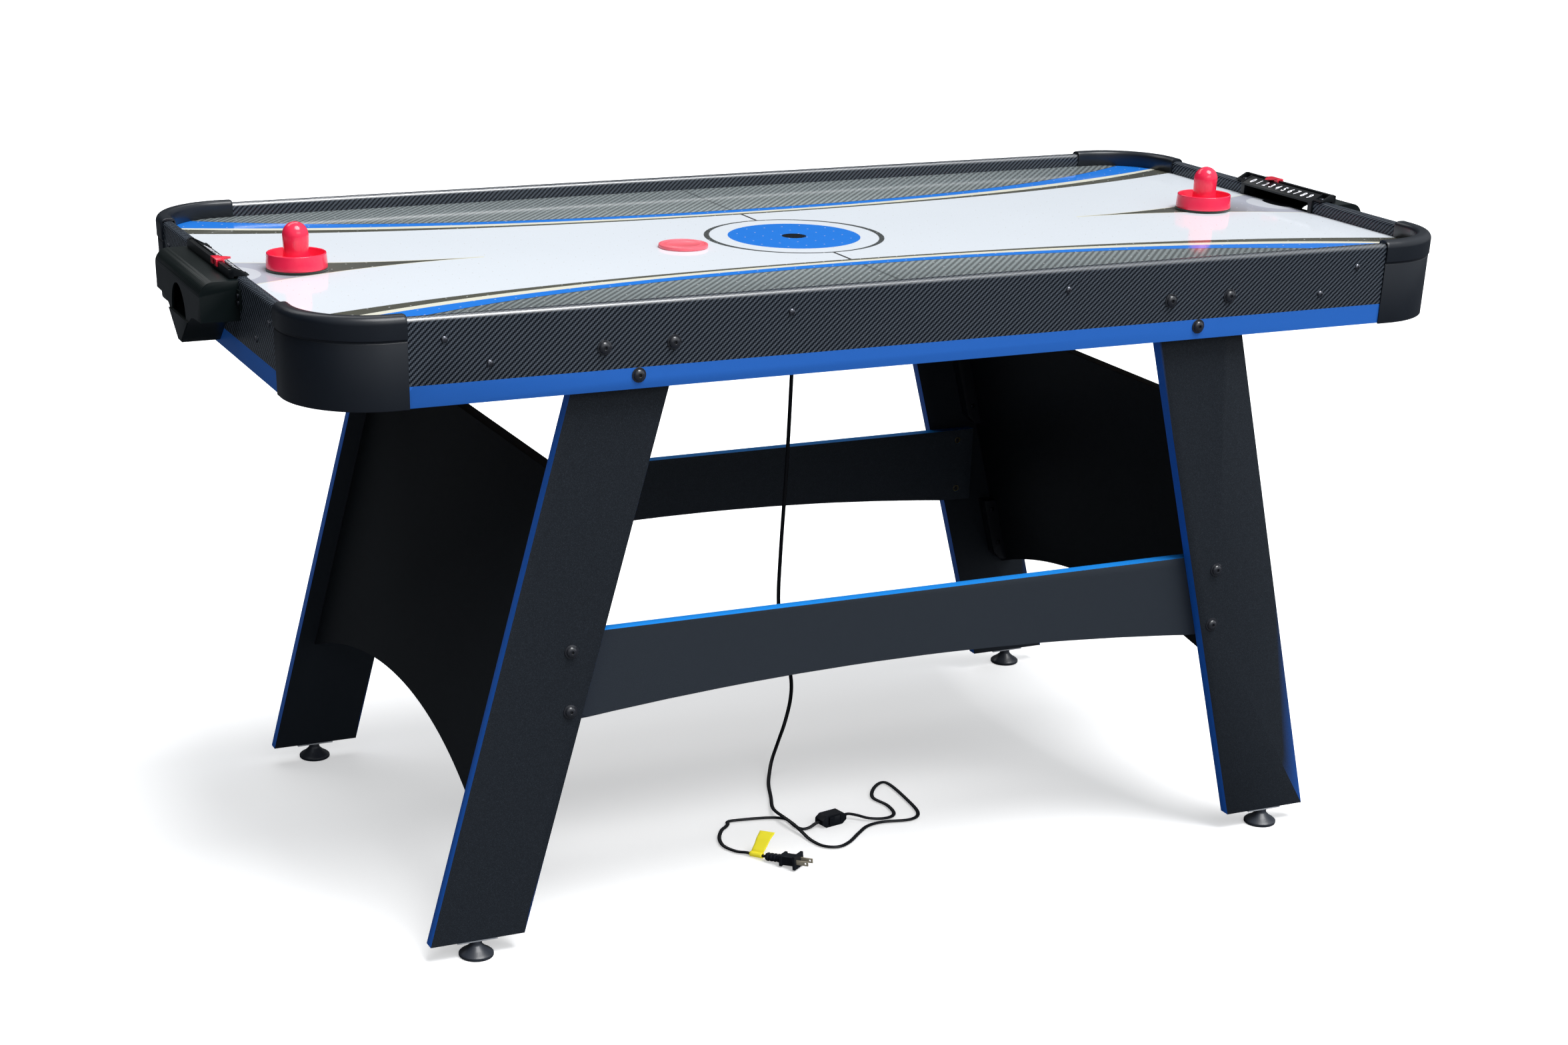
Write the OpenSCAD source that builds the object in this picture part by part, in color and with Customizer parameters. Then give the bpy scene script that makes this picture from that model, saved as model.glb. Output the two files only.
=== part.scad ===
// Air hockey table, five foot class, on four raked board legs.
// Frame: millimetres, +Z up, origin on the floor under the middle of the
// playfield, X along the length (goal to goal), Y across the table.
// Front is -Y, back is +Y. Handed pieces are drawn for the back right corner
// or the right end, and mirrored or turned for the others.
// Cutters run about 1 mm past the faces they cut through.

/* [Table body] */
// Length over the end aprons
table_l = 1524; // [1510:2:1560]
// Width over the side aprons
table_w = 762; // [756:2:780]
// Height of the rail top above the floor
rail_top = 787; // [785:1:795]
// Height of the apron boards
apron_h = 98; // [94:1:100]
// Thickness of the apron boards
board_t = 15; // [15:0.5:16]
// Rail height above the playing surface
rail_h = 17; // [16:0.5:20]
// Thickness of the playfield board
playfield_t = 4; // [3:0.5:4]
// Radius of the table corners
corner_r = 100; // [96:1:104]
// How far a corner cap reaches from the corner along each side
cap_reach = 116; // [114:1:122]

/* [Legs] */
// Distance of a leg's foot from the middle of the table
leg_foot_x = 577; // [572:1:582]
// Lean of the legs, degrees from upright
leg_lean = 15.7; // [15.2:0.1:16]
// Width of a leg board, measured level
leg_w = 122; // [116:1:126]
// Thickness of legs, stretchers and end panels
leg_t = 16; // [15.5:0.5:16]
// Height of the leg boards' lower edge above the floor
leg_base = 23.25; // [22.5:0.25:25]
// Top of the stretchers
stretcher_top = 396; // [390:1:400]
// Top of the end panels
panel_top = 583; // [570:1:600]
// Height of the arch in the end panels at mid width
panel_arch = 237; // [225:1:245]

/* [Goals and scorers] */
// Width of the goal slot
goal_w = 150; // [130:2:156]
// Half width of the goal box hood
box_hw = 111; // [108:1:114]
// How far the goal box stands out from the end apron
box_d = 46.6; // [44:0.2:50]
// Spacing of the ten digits on a scorer
digit_pitch = 15; // [14:0.5:15]
// Digit the scorer pointers stand at
score_shown = 2; // [0:1:9]

/* [Loose pieces] */
// Radius of the pusher base
pusher_r = 37.2; // [36:0.2:38]
// Height of the pusher knob above the playfield
pusher_h = 56.4; // [52:0.2:60]
// Radius of the puck
puck_r = 31.5; // [30:0.5:32]
// Thickness of the puck
puck_t = 4.5; // [4:0.5:6]

/* [Power cord] */
// Radius of the cord
cord_r = 2.5; // [2:0.1:2.7]

/* [Hidden] */
$fn = 48;

// Plan
half_l = table_l / 2;
half_w = table_w / 2;
apron_x = half_l - board_t;         // inner face of the end aprons
apron_y = half_w - board_t;         // inner face of the side aprons
leg_y = apron_y - leg_t;            // inner face of the legs
leg_mid_y = leg_y + leg_t / 2;
arc_x = half_l - corner_r;          // centre of the corner arc
arc_y = half_w - corner_r;

// Heights
apron_z = rail_top - apron_h;       // lower edge of the aprons
field_z = rail_top - rail_h;        // playing surface
field_under = field_z - playfield_t;
frame_h = 40;                       // height of the air chamber
frame_z = field_under - frame_h;    // underside of the air chamber frame
bottom_t = 3;                       // bottom panel thickness
blower_top = frame_z - bottom_t;
housing_h = 68;
blower_z = blower_top - housing_h;  // underside of the blower housing
cord_exit_z = blower_top - 40;
leg_top = field_under - 2;

// Bolts and screws: [distance from the middle, height]
apron_bolt_at = [[416, apron_z + 49.5], [331, apron_z + 49.5], [374, apron_z + 15.5]];
stretcher_bolt_at = [[452, 380], [454, 305]];
side_screw_at = [[604, field_under - 4.5], [552, field_under - 34.3],
  [184, field_under - 4.5]];
end_screw_at = [[240, field_under - 4.5], [179, field_under - 34.3]];
bolt_r = 3;
bolt_hole_r = 3.2;
washer_t = 1.2;
insert_l = 12;
screw_hole_r = 2.1;
small_hole_r = 1.7;
cap_screw_z = [712, 742];
cap_screw_in = 17;                  // from the corner arc's centre
goal_screw_y = box_hw + 5.5;
goal_screw_z = [field_under + 2, field_under - 6];
scorer_screw_x = half_l - 7;
scorer_screw_y = 91;

// Colours
apron_black = [0.10, 0.11, 0.13];
leg_black = [0.09, 0.10, 0.12];
panel_black = [0.08, 0.09, 0.10];
cap_black = [0.08, 0.08, 0.09];     // caps, feet and scorers
box_black = [0.07, 0.07, 0.08];     // goal boxes, blower housing and cleats
field_white = [0.88, 0.91, 0.98];
frame_wood = [0.62, 0.50, 0.34];
packing_wood = [0.60, 0.48, 0.32];
bottom_brown = [0.42, 0.32, 0.22];
grille_black = [0.09, 0.09, 0.10];
impeller_black = [0.12, 0.12, 0.13];
can_grey = [0.62, 0.63, 0.65];
shaft_steel = [0.72, 0.73, 0.75];
screw_steel = [0.70, 0.70, 0.72];
plate_steel = [0.75, 0.76, 0.78];
bolt_black = [0.15, 0.15, 0.16];
washer_black = [0.18, 0.18, 0.19];
screw_black = [0.20, 0.20, 0.21];
insert_brass = [0.70, 0.66, 0.50];
cord_black = [0.05, 0.05, 0.06];
fitting_black = [0.06, 0.06, 0.07]; // bushing, switch housing and plug
rocker_black = [0.10, 0.10, 0.11];
blade_brass = [0.80, 0.78, 0.70];
tag_yellow = [0.95, 0.88, 0.10];
pointer_red = [0.92, 0.15, 0.22];
pusher_red = [0.93, 0.10, 0.24];
felt_green = [0.06, 0.10, 0.08];
puck_red = [0.93, 0.25, 0.32];

// ---- helpers ----------------------------------------------------------------
// Centre line of a leg at height z
function leg_x(z) = leg_foot_x - tan(leg_lean) * (z - leg_base);
function arc(x, y, radius, from, to, steps = 6) =
  [for (i = [0:steps]) let (a = from + (to - from) * i / steps)
    [x + radius * cos(a), y + radius * sin(a)]];
// Points reflected in the second axis, in reverse order, to close a symmetric outline
function reflected(points) =
  [for (i = [len(points) - 1:-1:0]) [-points[i][0], points[i][1]]];

// 2D (y, z) swept along X
module prism_x(x0, x1)
  translate([x0, 0, 0]) rotate([90, 0, 90]) linear_extrude(x1 - x0) children();
// 2D (x, z) swept along Y
module prism_y(y0, y1)
  translate([0, y1, 0]) rotate([90, 0, 0]) linear_extrude(y1 - y0) children();
// Round bars
module rod_x(y, z, x0, x1, r)
  translate([x0, y, z]) rotate([0, 90, 0]) cylinder(r = r, h = x1 - x0);
module rod_y(x, z, y0, y1, r)
  translate([x, y1, z]) rotate([90, 0, 0]) cylinder(r = r, h = y1 - y0);
module box(low, high) translate(low) cube(high - low);
module ring(outer, inner, h) difference() {
  cylinder(r = outer, h = h);
  translate([0, 0, -1]) cylinder(r = inner, h = h + 2);
}

module left() mirror([1, 0, 0]) children();
module front() mirror([0, 1, 0]) children();
module both_x() {
  children();
  left() children();
}
module both_y() {
  children();
  front() children();
}
module four_corners() both_x() both_y() children();
// Places a piece drawn along +Z so that it points along +X or +Y
module facing_x(x, y, z) translate([x, y, z]) rotate([0, 90, 0]) children();
module facing_y(x, y, z) translate([x, y, z]) rotate([-90, 0, 0]) children();

// ---- aprons -----------------------------------------------------------------
sleeve = 2;                         // aprons end this far short of the corner arc
rail_edge_r = 5.5;                  // rounding of the rail top edges
cap_hole_depth = 10.5;

module rail_section() {
  edge_y = board_t / 2 - rail_edge_r;
  edge_z = apron_h - rail_edge_r;
  polygon(concat([[-board_t / 2, 0], [board_t / 2, 0]],
    arc(edge_y, edge_z, rail_edge_r, 0, 90),
    arc(-edge_y, edge_z, rail_edge_r, 90, 180)));
}

module side_rail() {
  end = arc_x - sleeve;
  difference() {
    prism_x(-end, end) translate([half_w - board_t / 2, apron_z]) rail_section();
    both_x() {
      for (b = apron_bolt_at) rod_y(b[0], b[1], apron_y - 1, half_w + 1, bolt_hole_r);
      for (s = side_screw_at) rod_y(s[0], s[1], apron_y - 1, half_w + 1, screw_hole_r);
      for (z = cap_screw_z)
        rod_y(arc_x - cap_screw_in, z, apron_y - 1, apron_y + cap_hole_depth, screw_hole_r);
    }
  }
}

module end_rail() {
  end = arc_y - sleeve;
  notch = 84.5;                     // half width of the goal and scorer notch
  difference() {
    prism_y(-end, end) translate([half_l - board_t / 2, apron_z]) rail_section();
    box([apron_x - 1, -notch, field_z - 1.5], [half_l + 1, notch, rail_top + 1]);
    both_y() {
      translate([scorer_screw_x, scorer_screw_y, rail_top - 12])
        cylinder(r = screw_hole_r, h = 14);
      for (z = goal_screw_z) rod_x(goal_screw_y, z, apron_x - 1, half_l + 1, screw_hole_r);
      for (s = end_screw_at) rod_x(s[0], s[1], apron_x - 1, half_l + 1, screw_hole_r);
      for (z = cap_screw_z)
        rod_x(arc_y - cap_screw_in, z, apron_x - 1, apron_x + cap_hole_depth, screw_hole_r);
    }
  }
}

// ---- corner caps ------------------------------------------------------------
cap_in = corner_r - board_t;        // aprons' inner face, from the arc centre
lug_t = 3.2;
lug_z = [700, 755];

// (distance from the arc centre, z)
module cap_section() {
  outer = corner_r + 2;
  inner = cap_in - 2;
  top = rail_top + 3.5;
  apron_skin = corner_r + 0.15;
  polygon(concat(
    [[outer, apron_z - 1], [outer, rail_top - 25], [outer - 0.8, rail_top - 24.2],
     [outer - 0.8, rail_top - 23], [outer + 1, rail_top - 22]],
    arc(outer - 7, top - 8, 8, 0, 90),
    arc(inner + 5, top - 5, 5, 90, 180),
    [[inner, field_z + 0.25], [inner + 1.85, field_z + 0.25],
     [inner + 1.85, rail_top + 0.15], [apron_skin, rail_top + 0.15],
     [apron_skin, apron_z - 1]]));
}
// Frame of the arc centre, with what lies along the side apron repeated
// along the end apron by swapping X and Y
module both_arms() translate([arc_x, arc_y, 0]) {
  children();
  left() rotate(90) children();
}
// Arm over the side apron, with a stop at the apron's end and a lug inside
module cap_arm() {
  prism_x(corner_r - cap_reach, 0) cap_section();
  difference() {
    union() {
      box([-1.7, cap_in + 0.2, apron_z], [0.6, corner_r + 0.3, rail_top + 0.3]);
      box([-1.7, cap_in - lug_t, lug_z[0]], [0.6, cap_in + 0.4, lug_z[1]]);
      box([-26, cap_in - lug_t, lug_z[0]], [0.6, cap_in - 0.2, lug_z[1]]);
    }
    for (z = cap_screw_z) rod_y(-cap_screw_in, z, cap_in - 5, cap_in + 1, 2.2);
  }
}
module corner_cap() {
  translate([arc_x, arc_y, 0]) rotate_extrude(angle = 90, $fn = 96) cap_section();
  both_arms() cap_arm();
}

// ---- playfield and air chamber ----------------------------------------------
frame_w = 18;                       // width of frame rails and ribs
frame_gap = 0.2;
end_rail_y = arc_y - 29;            // half length of the frame's end rails

module playfield() {
  r = cap_in - frame_gap;
  translate([0, 0, field_under]) linear_extrude(playfield_t)
    polygon(concat(arc(arc_x, arc_y, r, 0, 90, 12), arc(-arc_x, arc_y, r, 90, 180, 12),
      arc(-arc_x, -arc_y, r, 180, 270, 12), arc(arc_x, -arc_y, r, 270, 360, 12)));
}
// Two long rails, two end rails and four corner blocks
module plenum_frame() {
  end_in = apron_x - frame_gap - frame_w;
  block_y = end_rail_y + 0.1;
  both_y() box([-arc_x, leg_y - frame_w, frame_z], [arc_x, leg_y, field_under]);
  both_x() box([end_in, -end_rail_y, frame_z],
    [apron_x - frame_gap, end_rail_y, field_under]);
  four_corners() translate([0, 0, frame_z]) linear_extrude(frame_h)
    polygon([[arc_x + 0.1, leg_y], [arc_x + 0.1, leg_y - frame_w],
      [end_in, block_y], [apron_x - 4, block_y]]);
}
// Support strips under the playfield, drilled so that the air can pass
module plenum_ribs() {
  rib_x = [205, 470];
  rib_y = leg_y - frame_w - frame_gap;
  both_x() for (x = rib_x) difference() {
    box([x - frame_w / 2, -rib_y, frame_z], [x + frame_w / 2, rib_y, field_under]);
    for (y = [-240:80:240])
      rod_x(y, frame_z + frame_h / 2, x - frame_w / 2 - 1, x + frame_w / 2 + 1, 11);
  }
}
// Fill between side aprons and air chamber, beside and between the legs
module packing_strips() {
  module hole(at) rod_y(at[0], at[1], leg_y - 1, apron_y + 1, screw_hole_r);
  both_y() {
    difference() {
      box([-296, leg_y, frame_z], [296, apron_y, field_under]);
      both_x() hole(side_screw_at[2]);
    }
    both_x() difference() {
      box([450, leg_y, frame_z], [arc_x - 28, apron_y, field_under]);
      for (i = [0, 1]) hole(side_screw_at[i]);
    }
  }
}
module bottom_panel() {
  right_edge = [[arc_x, -leg_y], [apron_x - 4, -end_rail_y], [apron_x - 0.4, -end_rail_y],
    [apron_x - 0.4, end_rail_y], [apron_x - 4, end_rail_y], [arc_x, leg_y]];
  difference() {
    translate([0, 0, blower_top]) linear_extrude(bottom_t)
      polygon(concat(right_edge, reflected(right_edge)));
    translate([0, 0, blower_top - 1]) cylinder(r = 72, h = bottom_t + 2);
    at_flange_screws()
      translate([0, 0, blower_top - 1]) cylinder(r = flange_hole_r, h = bottom_t + 2);
  }
}

// ---- blower -----------------------------------------------------------------
flange_hole_r = 2.2;
flange_t = 3;
housing_r = 84;
housing_wall = 2.5;
cord_exit_angle = 62;
grille_t = 2.9;
grille_z = blower_z - 3;
rim_screw_ring = 63;                // grille to housing
motor_screw_ring = 18;              // grille to motor can

module at_flange_screws()
  for (a = [45:90:315]) rotate(a) translate([92, 0, 0]) children();
module at_three(ring_r)
  for (a = [0:120:240]) rotate(a) translate([ring_r, 0, 0]) children();

module blower_housing() difference() {
  union() {
    translate([0, 0, blower_z]) cylinder(r = housing_r, h = housing_h, $fn = 72);
    translate([0, 0, blower_top - flange_t]) cylinder(r = 100, h = flange_t, $fn = 72);
  }
  translate([0, 0, blower_z + housing_wall])
    cylinder(r = housing_r - housing_wall, h = 70, $fn = 72);
  translate([0, 0, blower_z - 1]) cylinder(r = 56, h = 5, $fn = 72);
  at_flange_screws()
    translate([0, 0, blower_top - flange_t - 1]) cylinder(r = flange_hole_r, h = 5);
  at_three(rim_screw_ring)
    translate([0, 0, blower_z - 1]) cylinder(r = small_hole_r, h = 5);
  rotate(cord_exit_angle) rod_x(0, cord_exit_z, 75, 90, 6.1);
}
// Rim, middle ring and hub joined by eight spokes
module blower_grille() difference() {
  union() {
    translate([0, 0, grille_z]) {
      ring(68, 54, grille_t, $fn = 72);
      cylinder(r = 29, h = grille_t);
      ring(43, 40, grille_t, $fn = 72);
    }
    for (a = [0:45:315]) rotate(a + 22.5)
      box([28, -2, grille_z], [55, 2, grille_z + grille_t]);
  }
  for (ring_r = [rim_screw_ring, motor_screw_ring]) at_three(ring_r)
    translate([0, 0, grille_z - 1]) cylinder(r = small_hole_r, h = 5);
}
module motor_can() difference() {
  union() {
    translate([0, 0, blower_z]) cylinder(r = 25, h = 34);
    translate([0, 0, blower_z + 34]) cylinder(r = 8, h = 4);
  }
  translate([0, 0, blower_z + 20]) cylinder(r = 2.7, h = 30);
  at_three(motor_screw_ring)
    translate([0, 0, blower_z - 1]) cylinder(r = small_hole_r, h = 9);
}
module impeller_shaft() translate([0, 0, blower_z + 22]) cylinder(r = 2.5, h = 36);
// Back plate with hub above, inlet ring below, slanted blades between
module impeller() {
  wheel_r = 64;
  plate_t = 2.5;
  plate_z = blower_z + 52;
  inlet_z = blower_z + 8;
  difference() {
    union() {
      translate([0, 0, plate_z]) cylinder(r = wheel_r, h = plate_t, $fn = 72);
      translate([0, 0, blower_z + 44]) cylinder(r = 9, h = 13);
      translate([0, 0, inlet_z]) ring(wheel_r, 52, plate_t, $fn = 72);
      for (a = [0:22.5:337.5]) rotate(a) translate([58, 0, 0]) rotate(28)
        box([-5.5, -0.9, inlet_z + 0.5], [5.5, 0.9, plate_z + 0.5]);
    }
    translate([0, 0, blower_z + 40]) cylinder(r = 2.6, h = 20);
  }
}
// Flange screws with a disc at each end, and small screws up through the grille
module blower_screws() {
  at_flange_screws() {
    translate([0, 0, blower_top - 5.2]) cylinder(r = 4, h = 2.2);
    translate([0, 0, blower_top - 3.1]) cylinder(r = 2, h = 8.5);
    translate([0, 0, blower_top + 3.1]) cylinder(r = 4, h = 2.2);
  }
  // [ring radius, shank length]
  for (s = [[rim_screw_ring, 7], [motor_screw_ring, 9]]) at_three(s[0]) {
    translate([0, 0, blower_z - 4.8]) cylinder(r = 3, h = 1.8);
    translate([0, 0, blower_z - 3.1]) cylinder(r = 1.5, h = s[1]);
  }
}

// ---- legs -------------------------------------------------------------------
stud_hole_r = 4.3;
plate_screw_x = [-19, 19];          // from the leg's centre line at the foot
panel_low = 160;
panel_out = 36;                     // panel's outer face, from the leg's centre line
panel_in = panel_out - leg_t / cos(leg_lean);
panel_y = leg_y - 0.1;
stretcher_y = leg_y - leg_t;        // inner face of the stretchers
cleat_spans = [[184, 280], [404, 560]];  // [bottom, top]
cleat_w = 20;
cleat_x = panel_in - 0.1;           // cleat's outer face, from the leg's centre line

// Bolt hole from y0 to y1, widened at y0 for the insert nut
module insert_bore(at, y0, y1) {
  rod_y(at[0], at[1], y0 - 1, y1 + 1, bolt_hole_r);
  rod_y(at[0], at[1], y0 - 1, y0 + insert_l + 0.3, 5);
}
module leg() difference() {
  prism_y(leg_y, apron_y) polygon([
    [leg_x(leg_base) - leg_w / 2, leg_base], [leg_x(leg_base) + leg_w / 2, leg_base],
    [leg_x(leg_top) + leg_w / 2, leg_top], [leg_x(leg_top) - leg_w / 2, leg_top]]);
  for (b = apron_bolt_at) insert_bore(b, leg_y, apron_y);
  for (b = stretcher_bolt_at) rod_y(b[0], b[1], leg_y - 1, apron_y + 1, bolt_hole_r);
  translate([leg_foot_x, leg_mid_y, leg_base - 1]) cylinder(r = stud_hole_r, h = 48);
  for (x = plate_screw_x)
    translate([leg_foot_x + x, leg_mid_y, leg_base - 1]) cylinder(r = small_hole_r, h = 15);
}
// Raked panel between the two right legs, arched below
module end_panel() {
  arch_r = 1000;
  difference() {
    prism_y(-panel_y, panel_y) polygon([
      [leg_x(panel_low) + panel_in, panel_low], [leg_x(panel_low) + panel_out, panel_low],
      [leg_x(panel_top) + panel_out, panel_top], [leg_x(panel_top) + panel_in, panel_top]]);
    rod_x(0, panel_arch - arch_r, 300, 700, arch_r, $fn = 400);
  }
}
// Board between the two back legs, underside gently arched
module stretcher() {
  half = 478;
  end_z = 286.5;
  arch_half = 426;
  arch_top = 310;
  arch_rise = 21.5;
  difference() {
    prism_y(stretcher_y, leg_y) polygon(concat(
      [[half, end_z], [half, stretcher_top], [-half, stretcher_top], [-half, end_z]],
      [for (i = [0:24]) let (x = -arch_half + 2 * arch_half * i / 24)
        [x, arch_top - arch_rise * pow(x / arch_half, 2)]]));
    both_x() for (b = stretcher_bolt_at) insert_bore(b, stretcher_y, leg_y);
  }
}
function cleat_screw_z(span) = [span[0] + 28, span[1] - 14];
// Square strip in the corner of leg and end panel, pointed below
module cleat(span) {
  low = span[0];
  high = span[1];
  difference() {
    prism_y(leg_y - cleat_w, panel_y) polygon([
      [leg_x(low) + cleat_x, low], [leg_x(high) + cleat_x, high],
      [leg_x(high) + cleat_x - cleat_w, high],
      [leg_x(low + 12) + cleat_x - cleat_w, low + 12],
      [leg_x(low) + cleat_x - cleat_w / 2, low]]);
    for (z = cleat_screw_z(span))
      rod_y(leg_x(z) + cleat_x - cleat_w / 2, z, leg_y - cleat_w - 1, leg_y + 1, screw_hole_r);
  }
}
module panel_cleats() four_corners() for (span = cleat_spans) cleat(span);

// ---- levelling feet ---------------------------------------------------------
// Foot and stud: (radius, height)
foot_outline = [[0, 0], [20.6, 0], [21.8, 1.2], [21.8, 4.2], [19.6, 6.2], [13.5, 10],
  [8.2, 15], [7.4, 17.4], [7.4, leg_base - 2.3], [4, leg_base - 2.2], [4, 60], [3.2, 61],
  [0, 61]];
foot_plate_t = 2;

module foot() translate([leg_foot_x, leg_mid_y, 0]) rotate_extrude() polygon(foot_outline);
module foot_plates() four_corners() translate([leg_foot_x, leg_mid_y, 0]) difference() {
  box([-26, -7.5, leg_base - foot_plate_t], [26, 7.5, leg_base]);
  translate([0, 0, leg_base - 3]) cylinder(r = 4.4, h = 4);
  for (x = plate_screw_x)
    translate([x, 0, leg_base - 3]) cylinder(r = small_hole_r, h = 4);
}

// ---- fasteners --------------------------------------------------------------
bolt_seat = washer_t + 0.1;         // bolt head above the board's face

// Domed head above z = 0 with a hexagon socket, shank below
module button_bolt(length) {
  head_r = 6.6;
  difference() {
    rotate_extrude() polygon(concat(
      [[0, -length], [bolt_r - 0.6, -length], [bolt_r, -length + 0.6], [bolt_r, 0],
       [head_r, 0], [head_r, 0.6]],
      [for (i = [1:6]) let (a = 90 * i / 6) [head_r * cos(a * 0.8), 0.6 + 3 * sin(a)]],
      [[0, 3.6]]));
    translate([0, 0, 1.2]) cylinder(r = 2.3, h = 4, $fn = 6);
  }
}
module apron_bolts() four_corners() for (b = apron_bolt_at)
  facing_y(b[0], half_w + bolt_seat, b[1]) button_bolt(board_t + leg_t + 0.3);
module stretcher_bolts() four_corners() for (b = stretcher_bolt_at)
  facing_y(b[0], apron_y + bolt_seat, b[1]) button_bolt(2 * leg_t + 0.3);
module washer() ring(8.6, bolt_hole_r, washer_t);
module bolt_washers() four_corners() {
  for (b = apron_bolt_at) facing_y(b[0], half_w, b[1]) washer();
  for (b = stretcher_bolt_at) facing_y(b[0], apron_y, b[1]) washer();
}
module insert_nut() ring(4.9, bolt_hole_r, insert_l);
module insert_nuts() four_corners() {
  for (b = apron_bolt_at) facing_y(b[0], leg_y + 0.2, b[1]) insert_nut();
  for (b = stretcher_bolt_at) facing_y(b[0], stretcher_y + 0.2, b[1]) insert_nut();
}
// Pan head above z = 0 with a cross recess, pointed shank below
module wood_screw(length, head_r = 3.8) {
  shank_r = 1.9;
  difference() {
    union() {
      rotate_extrude() polygon([[0, 0], [head_r, 0], [head_r, 0.8], [head_r * 0.82, 1.7],
        [head_r * 0.45, 2.2], [0, 2.3]]);
      rotate_extrude() polygon([[0, -length], [shank_r, -length + 3], [shank_r, 0.1],
        [0, 0.1]]);
    }
    for (a = [0, 90]) rotate(a) box([-head_r * 0.5, -0.45, 1.1], [head_r * 0.5, 0.45, 3]);
  }
}
module rail_screws() four_corners() {
  for (s = side_screw_at) facing_y(s[0], half_w + 0.05, s[1]) wood_screw(board_t + leg_t - 1);
  for (s = end_screw_at) facing_x(half_l + 0.05, s[0], s[1]) wood_screw(board_t - 1);
}
module cap_screws() four_corners() both_arms() for (z = cap_screw_z)
  translate([-cap_screw_in, cap_in - lug_t - 0.05, z]) rotate([90, 0, 0]) wood_screw(13);
module goal_screws() four_corners() {
  for (z = goal_screw_z)
    facing_x(half_l + 2.65, goal_screw_y, z) wood_screw(board_t + 1, head_r = 3.2);
  translate([scorer_screw_x, scorer_screw_y, rail_top + 1.75]) wood_screw(11);
}
module panel_screws() four_corners() for (span = cleat_spans) for (z = cleat_screw_z(span))
  translate([leg_x(z) + cleat_x - cleat_w / 2, leg_y - cleat_w - 0.1, z])
    rotate([90, 0, 0]) wood_screw(19.5);

// ---- goal boxes -------------------------------------------------------------
hood_top = rail_top - 2.5;
box_x = half_l + box_d;             // outer face of the goal box
box_wall = 2.5;
// Underside of the pocket, from the hood's lower edge down to the keel:
// [distance in from the hood's side, depth below the hood's top]
pocket = [[22, 46.5], [38, 47.3], [50, 50], [60, 55.2], [79, 68.5], [96, 81.6],
  [box_hw - 5, 89.5]];
// Lower edge of the lip: [half width, depth below the hood's top]
lip = [[47, 57.5], [33, 68], [16, 80.5], [6.5, 87.5]];

// Seen along X, inset by the wall
module box_outline(inset) {
  side = concat([[box_hw - inset, hood_top - 46 + inset]],
    [for (p = pocket) [max(3, box_hw - p[0] - inset * 0.5), hood_top - p[1] + inset]]);
  polygon(concat([[-box_hw + inset, hood_top - inset], [box_hw - inset, hood_top - inset]],
    side, reflected(side)));
}
// Seen along Y, rounded above and inset by the wall
module hood_side(inset) {
  round_r = 17;
  prism_y(-150, 150) polygon(concat([[half_l - 4, 680], [box_x - inset, 680]],
    arc(box_x - round_r, hood_top - round_r, round_r - inset, 0, 90, 16),
    [[half_l - 4, hood_top - inset]]));
}
// Hood over a tapering pocket, open on the table's side
module goal_box() {
  lip_edge = [for (p = lip) [p[0], hood_top - p[1]]];
  opening_r = 34.5;
  difference() {
    union() {
      intersection() {
        prism_x(half_l + 0.1, box_x) box_outline(0);
        hood_side(0);
      }
      // raised lip closing the pocket
      prism_x(box_x - 1, box_x + 1.8) polygon(concat(lip_edge, reflected(lip_edge)));
    }
    intersection() {
      prism_x(half_l - 1, box_x - box_wall) box_outline(box_wall);
      hood_side(box_wall);
    }
    // hand opening, closed below by the lip
    prism_x(box_x - 4, box_x + 1) polygon(concat([[opening_r, hood_top - 57]],
      arc(0, hood_top - 55, opening_r, 0, 180, 32), [[-opening_r, hood_top - 57]]));
  }
  // screw tabs
  both_y() difference() {
    box([half_l + 0.1, box_hw - 1, field_under - 14],
      [half_l + 2.6, box_hw + 12, field_under + 9]);
    for (z = goal_screw_z) rod_x(goal_screw_y, z, half_l - 1, half_l + 4, screw_hole_r);
  }
}

// ---- scorers ----------------------------------------------------------------
scorer_x = apron_x - 2.8;           // face towards the playfield
ridge_x = half_l + 2.5;             // inner face of the ridge the pointer rides on
ridge_out = half_l + 8;             // outer face of the ridge
ridge_z = rail_top + 8.2;
scorer_half = 84;
scorer_under = field_z + 13.2;
scorer_foot = hood_top + 0.8;       // underside outside the apron

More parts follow.
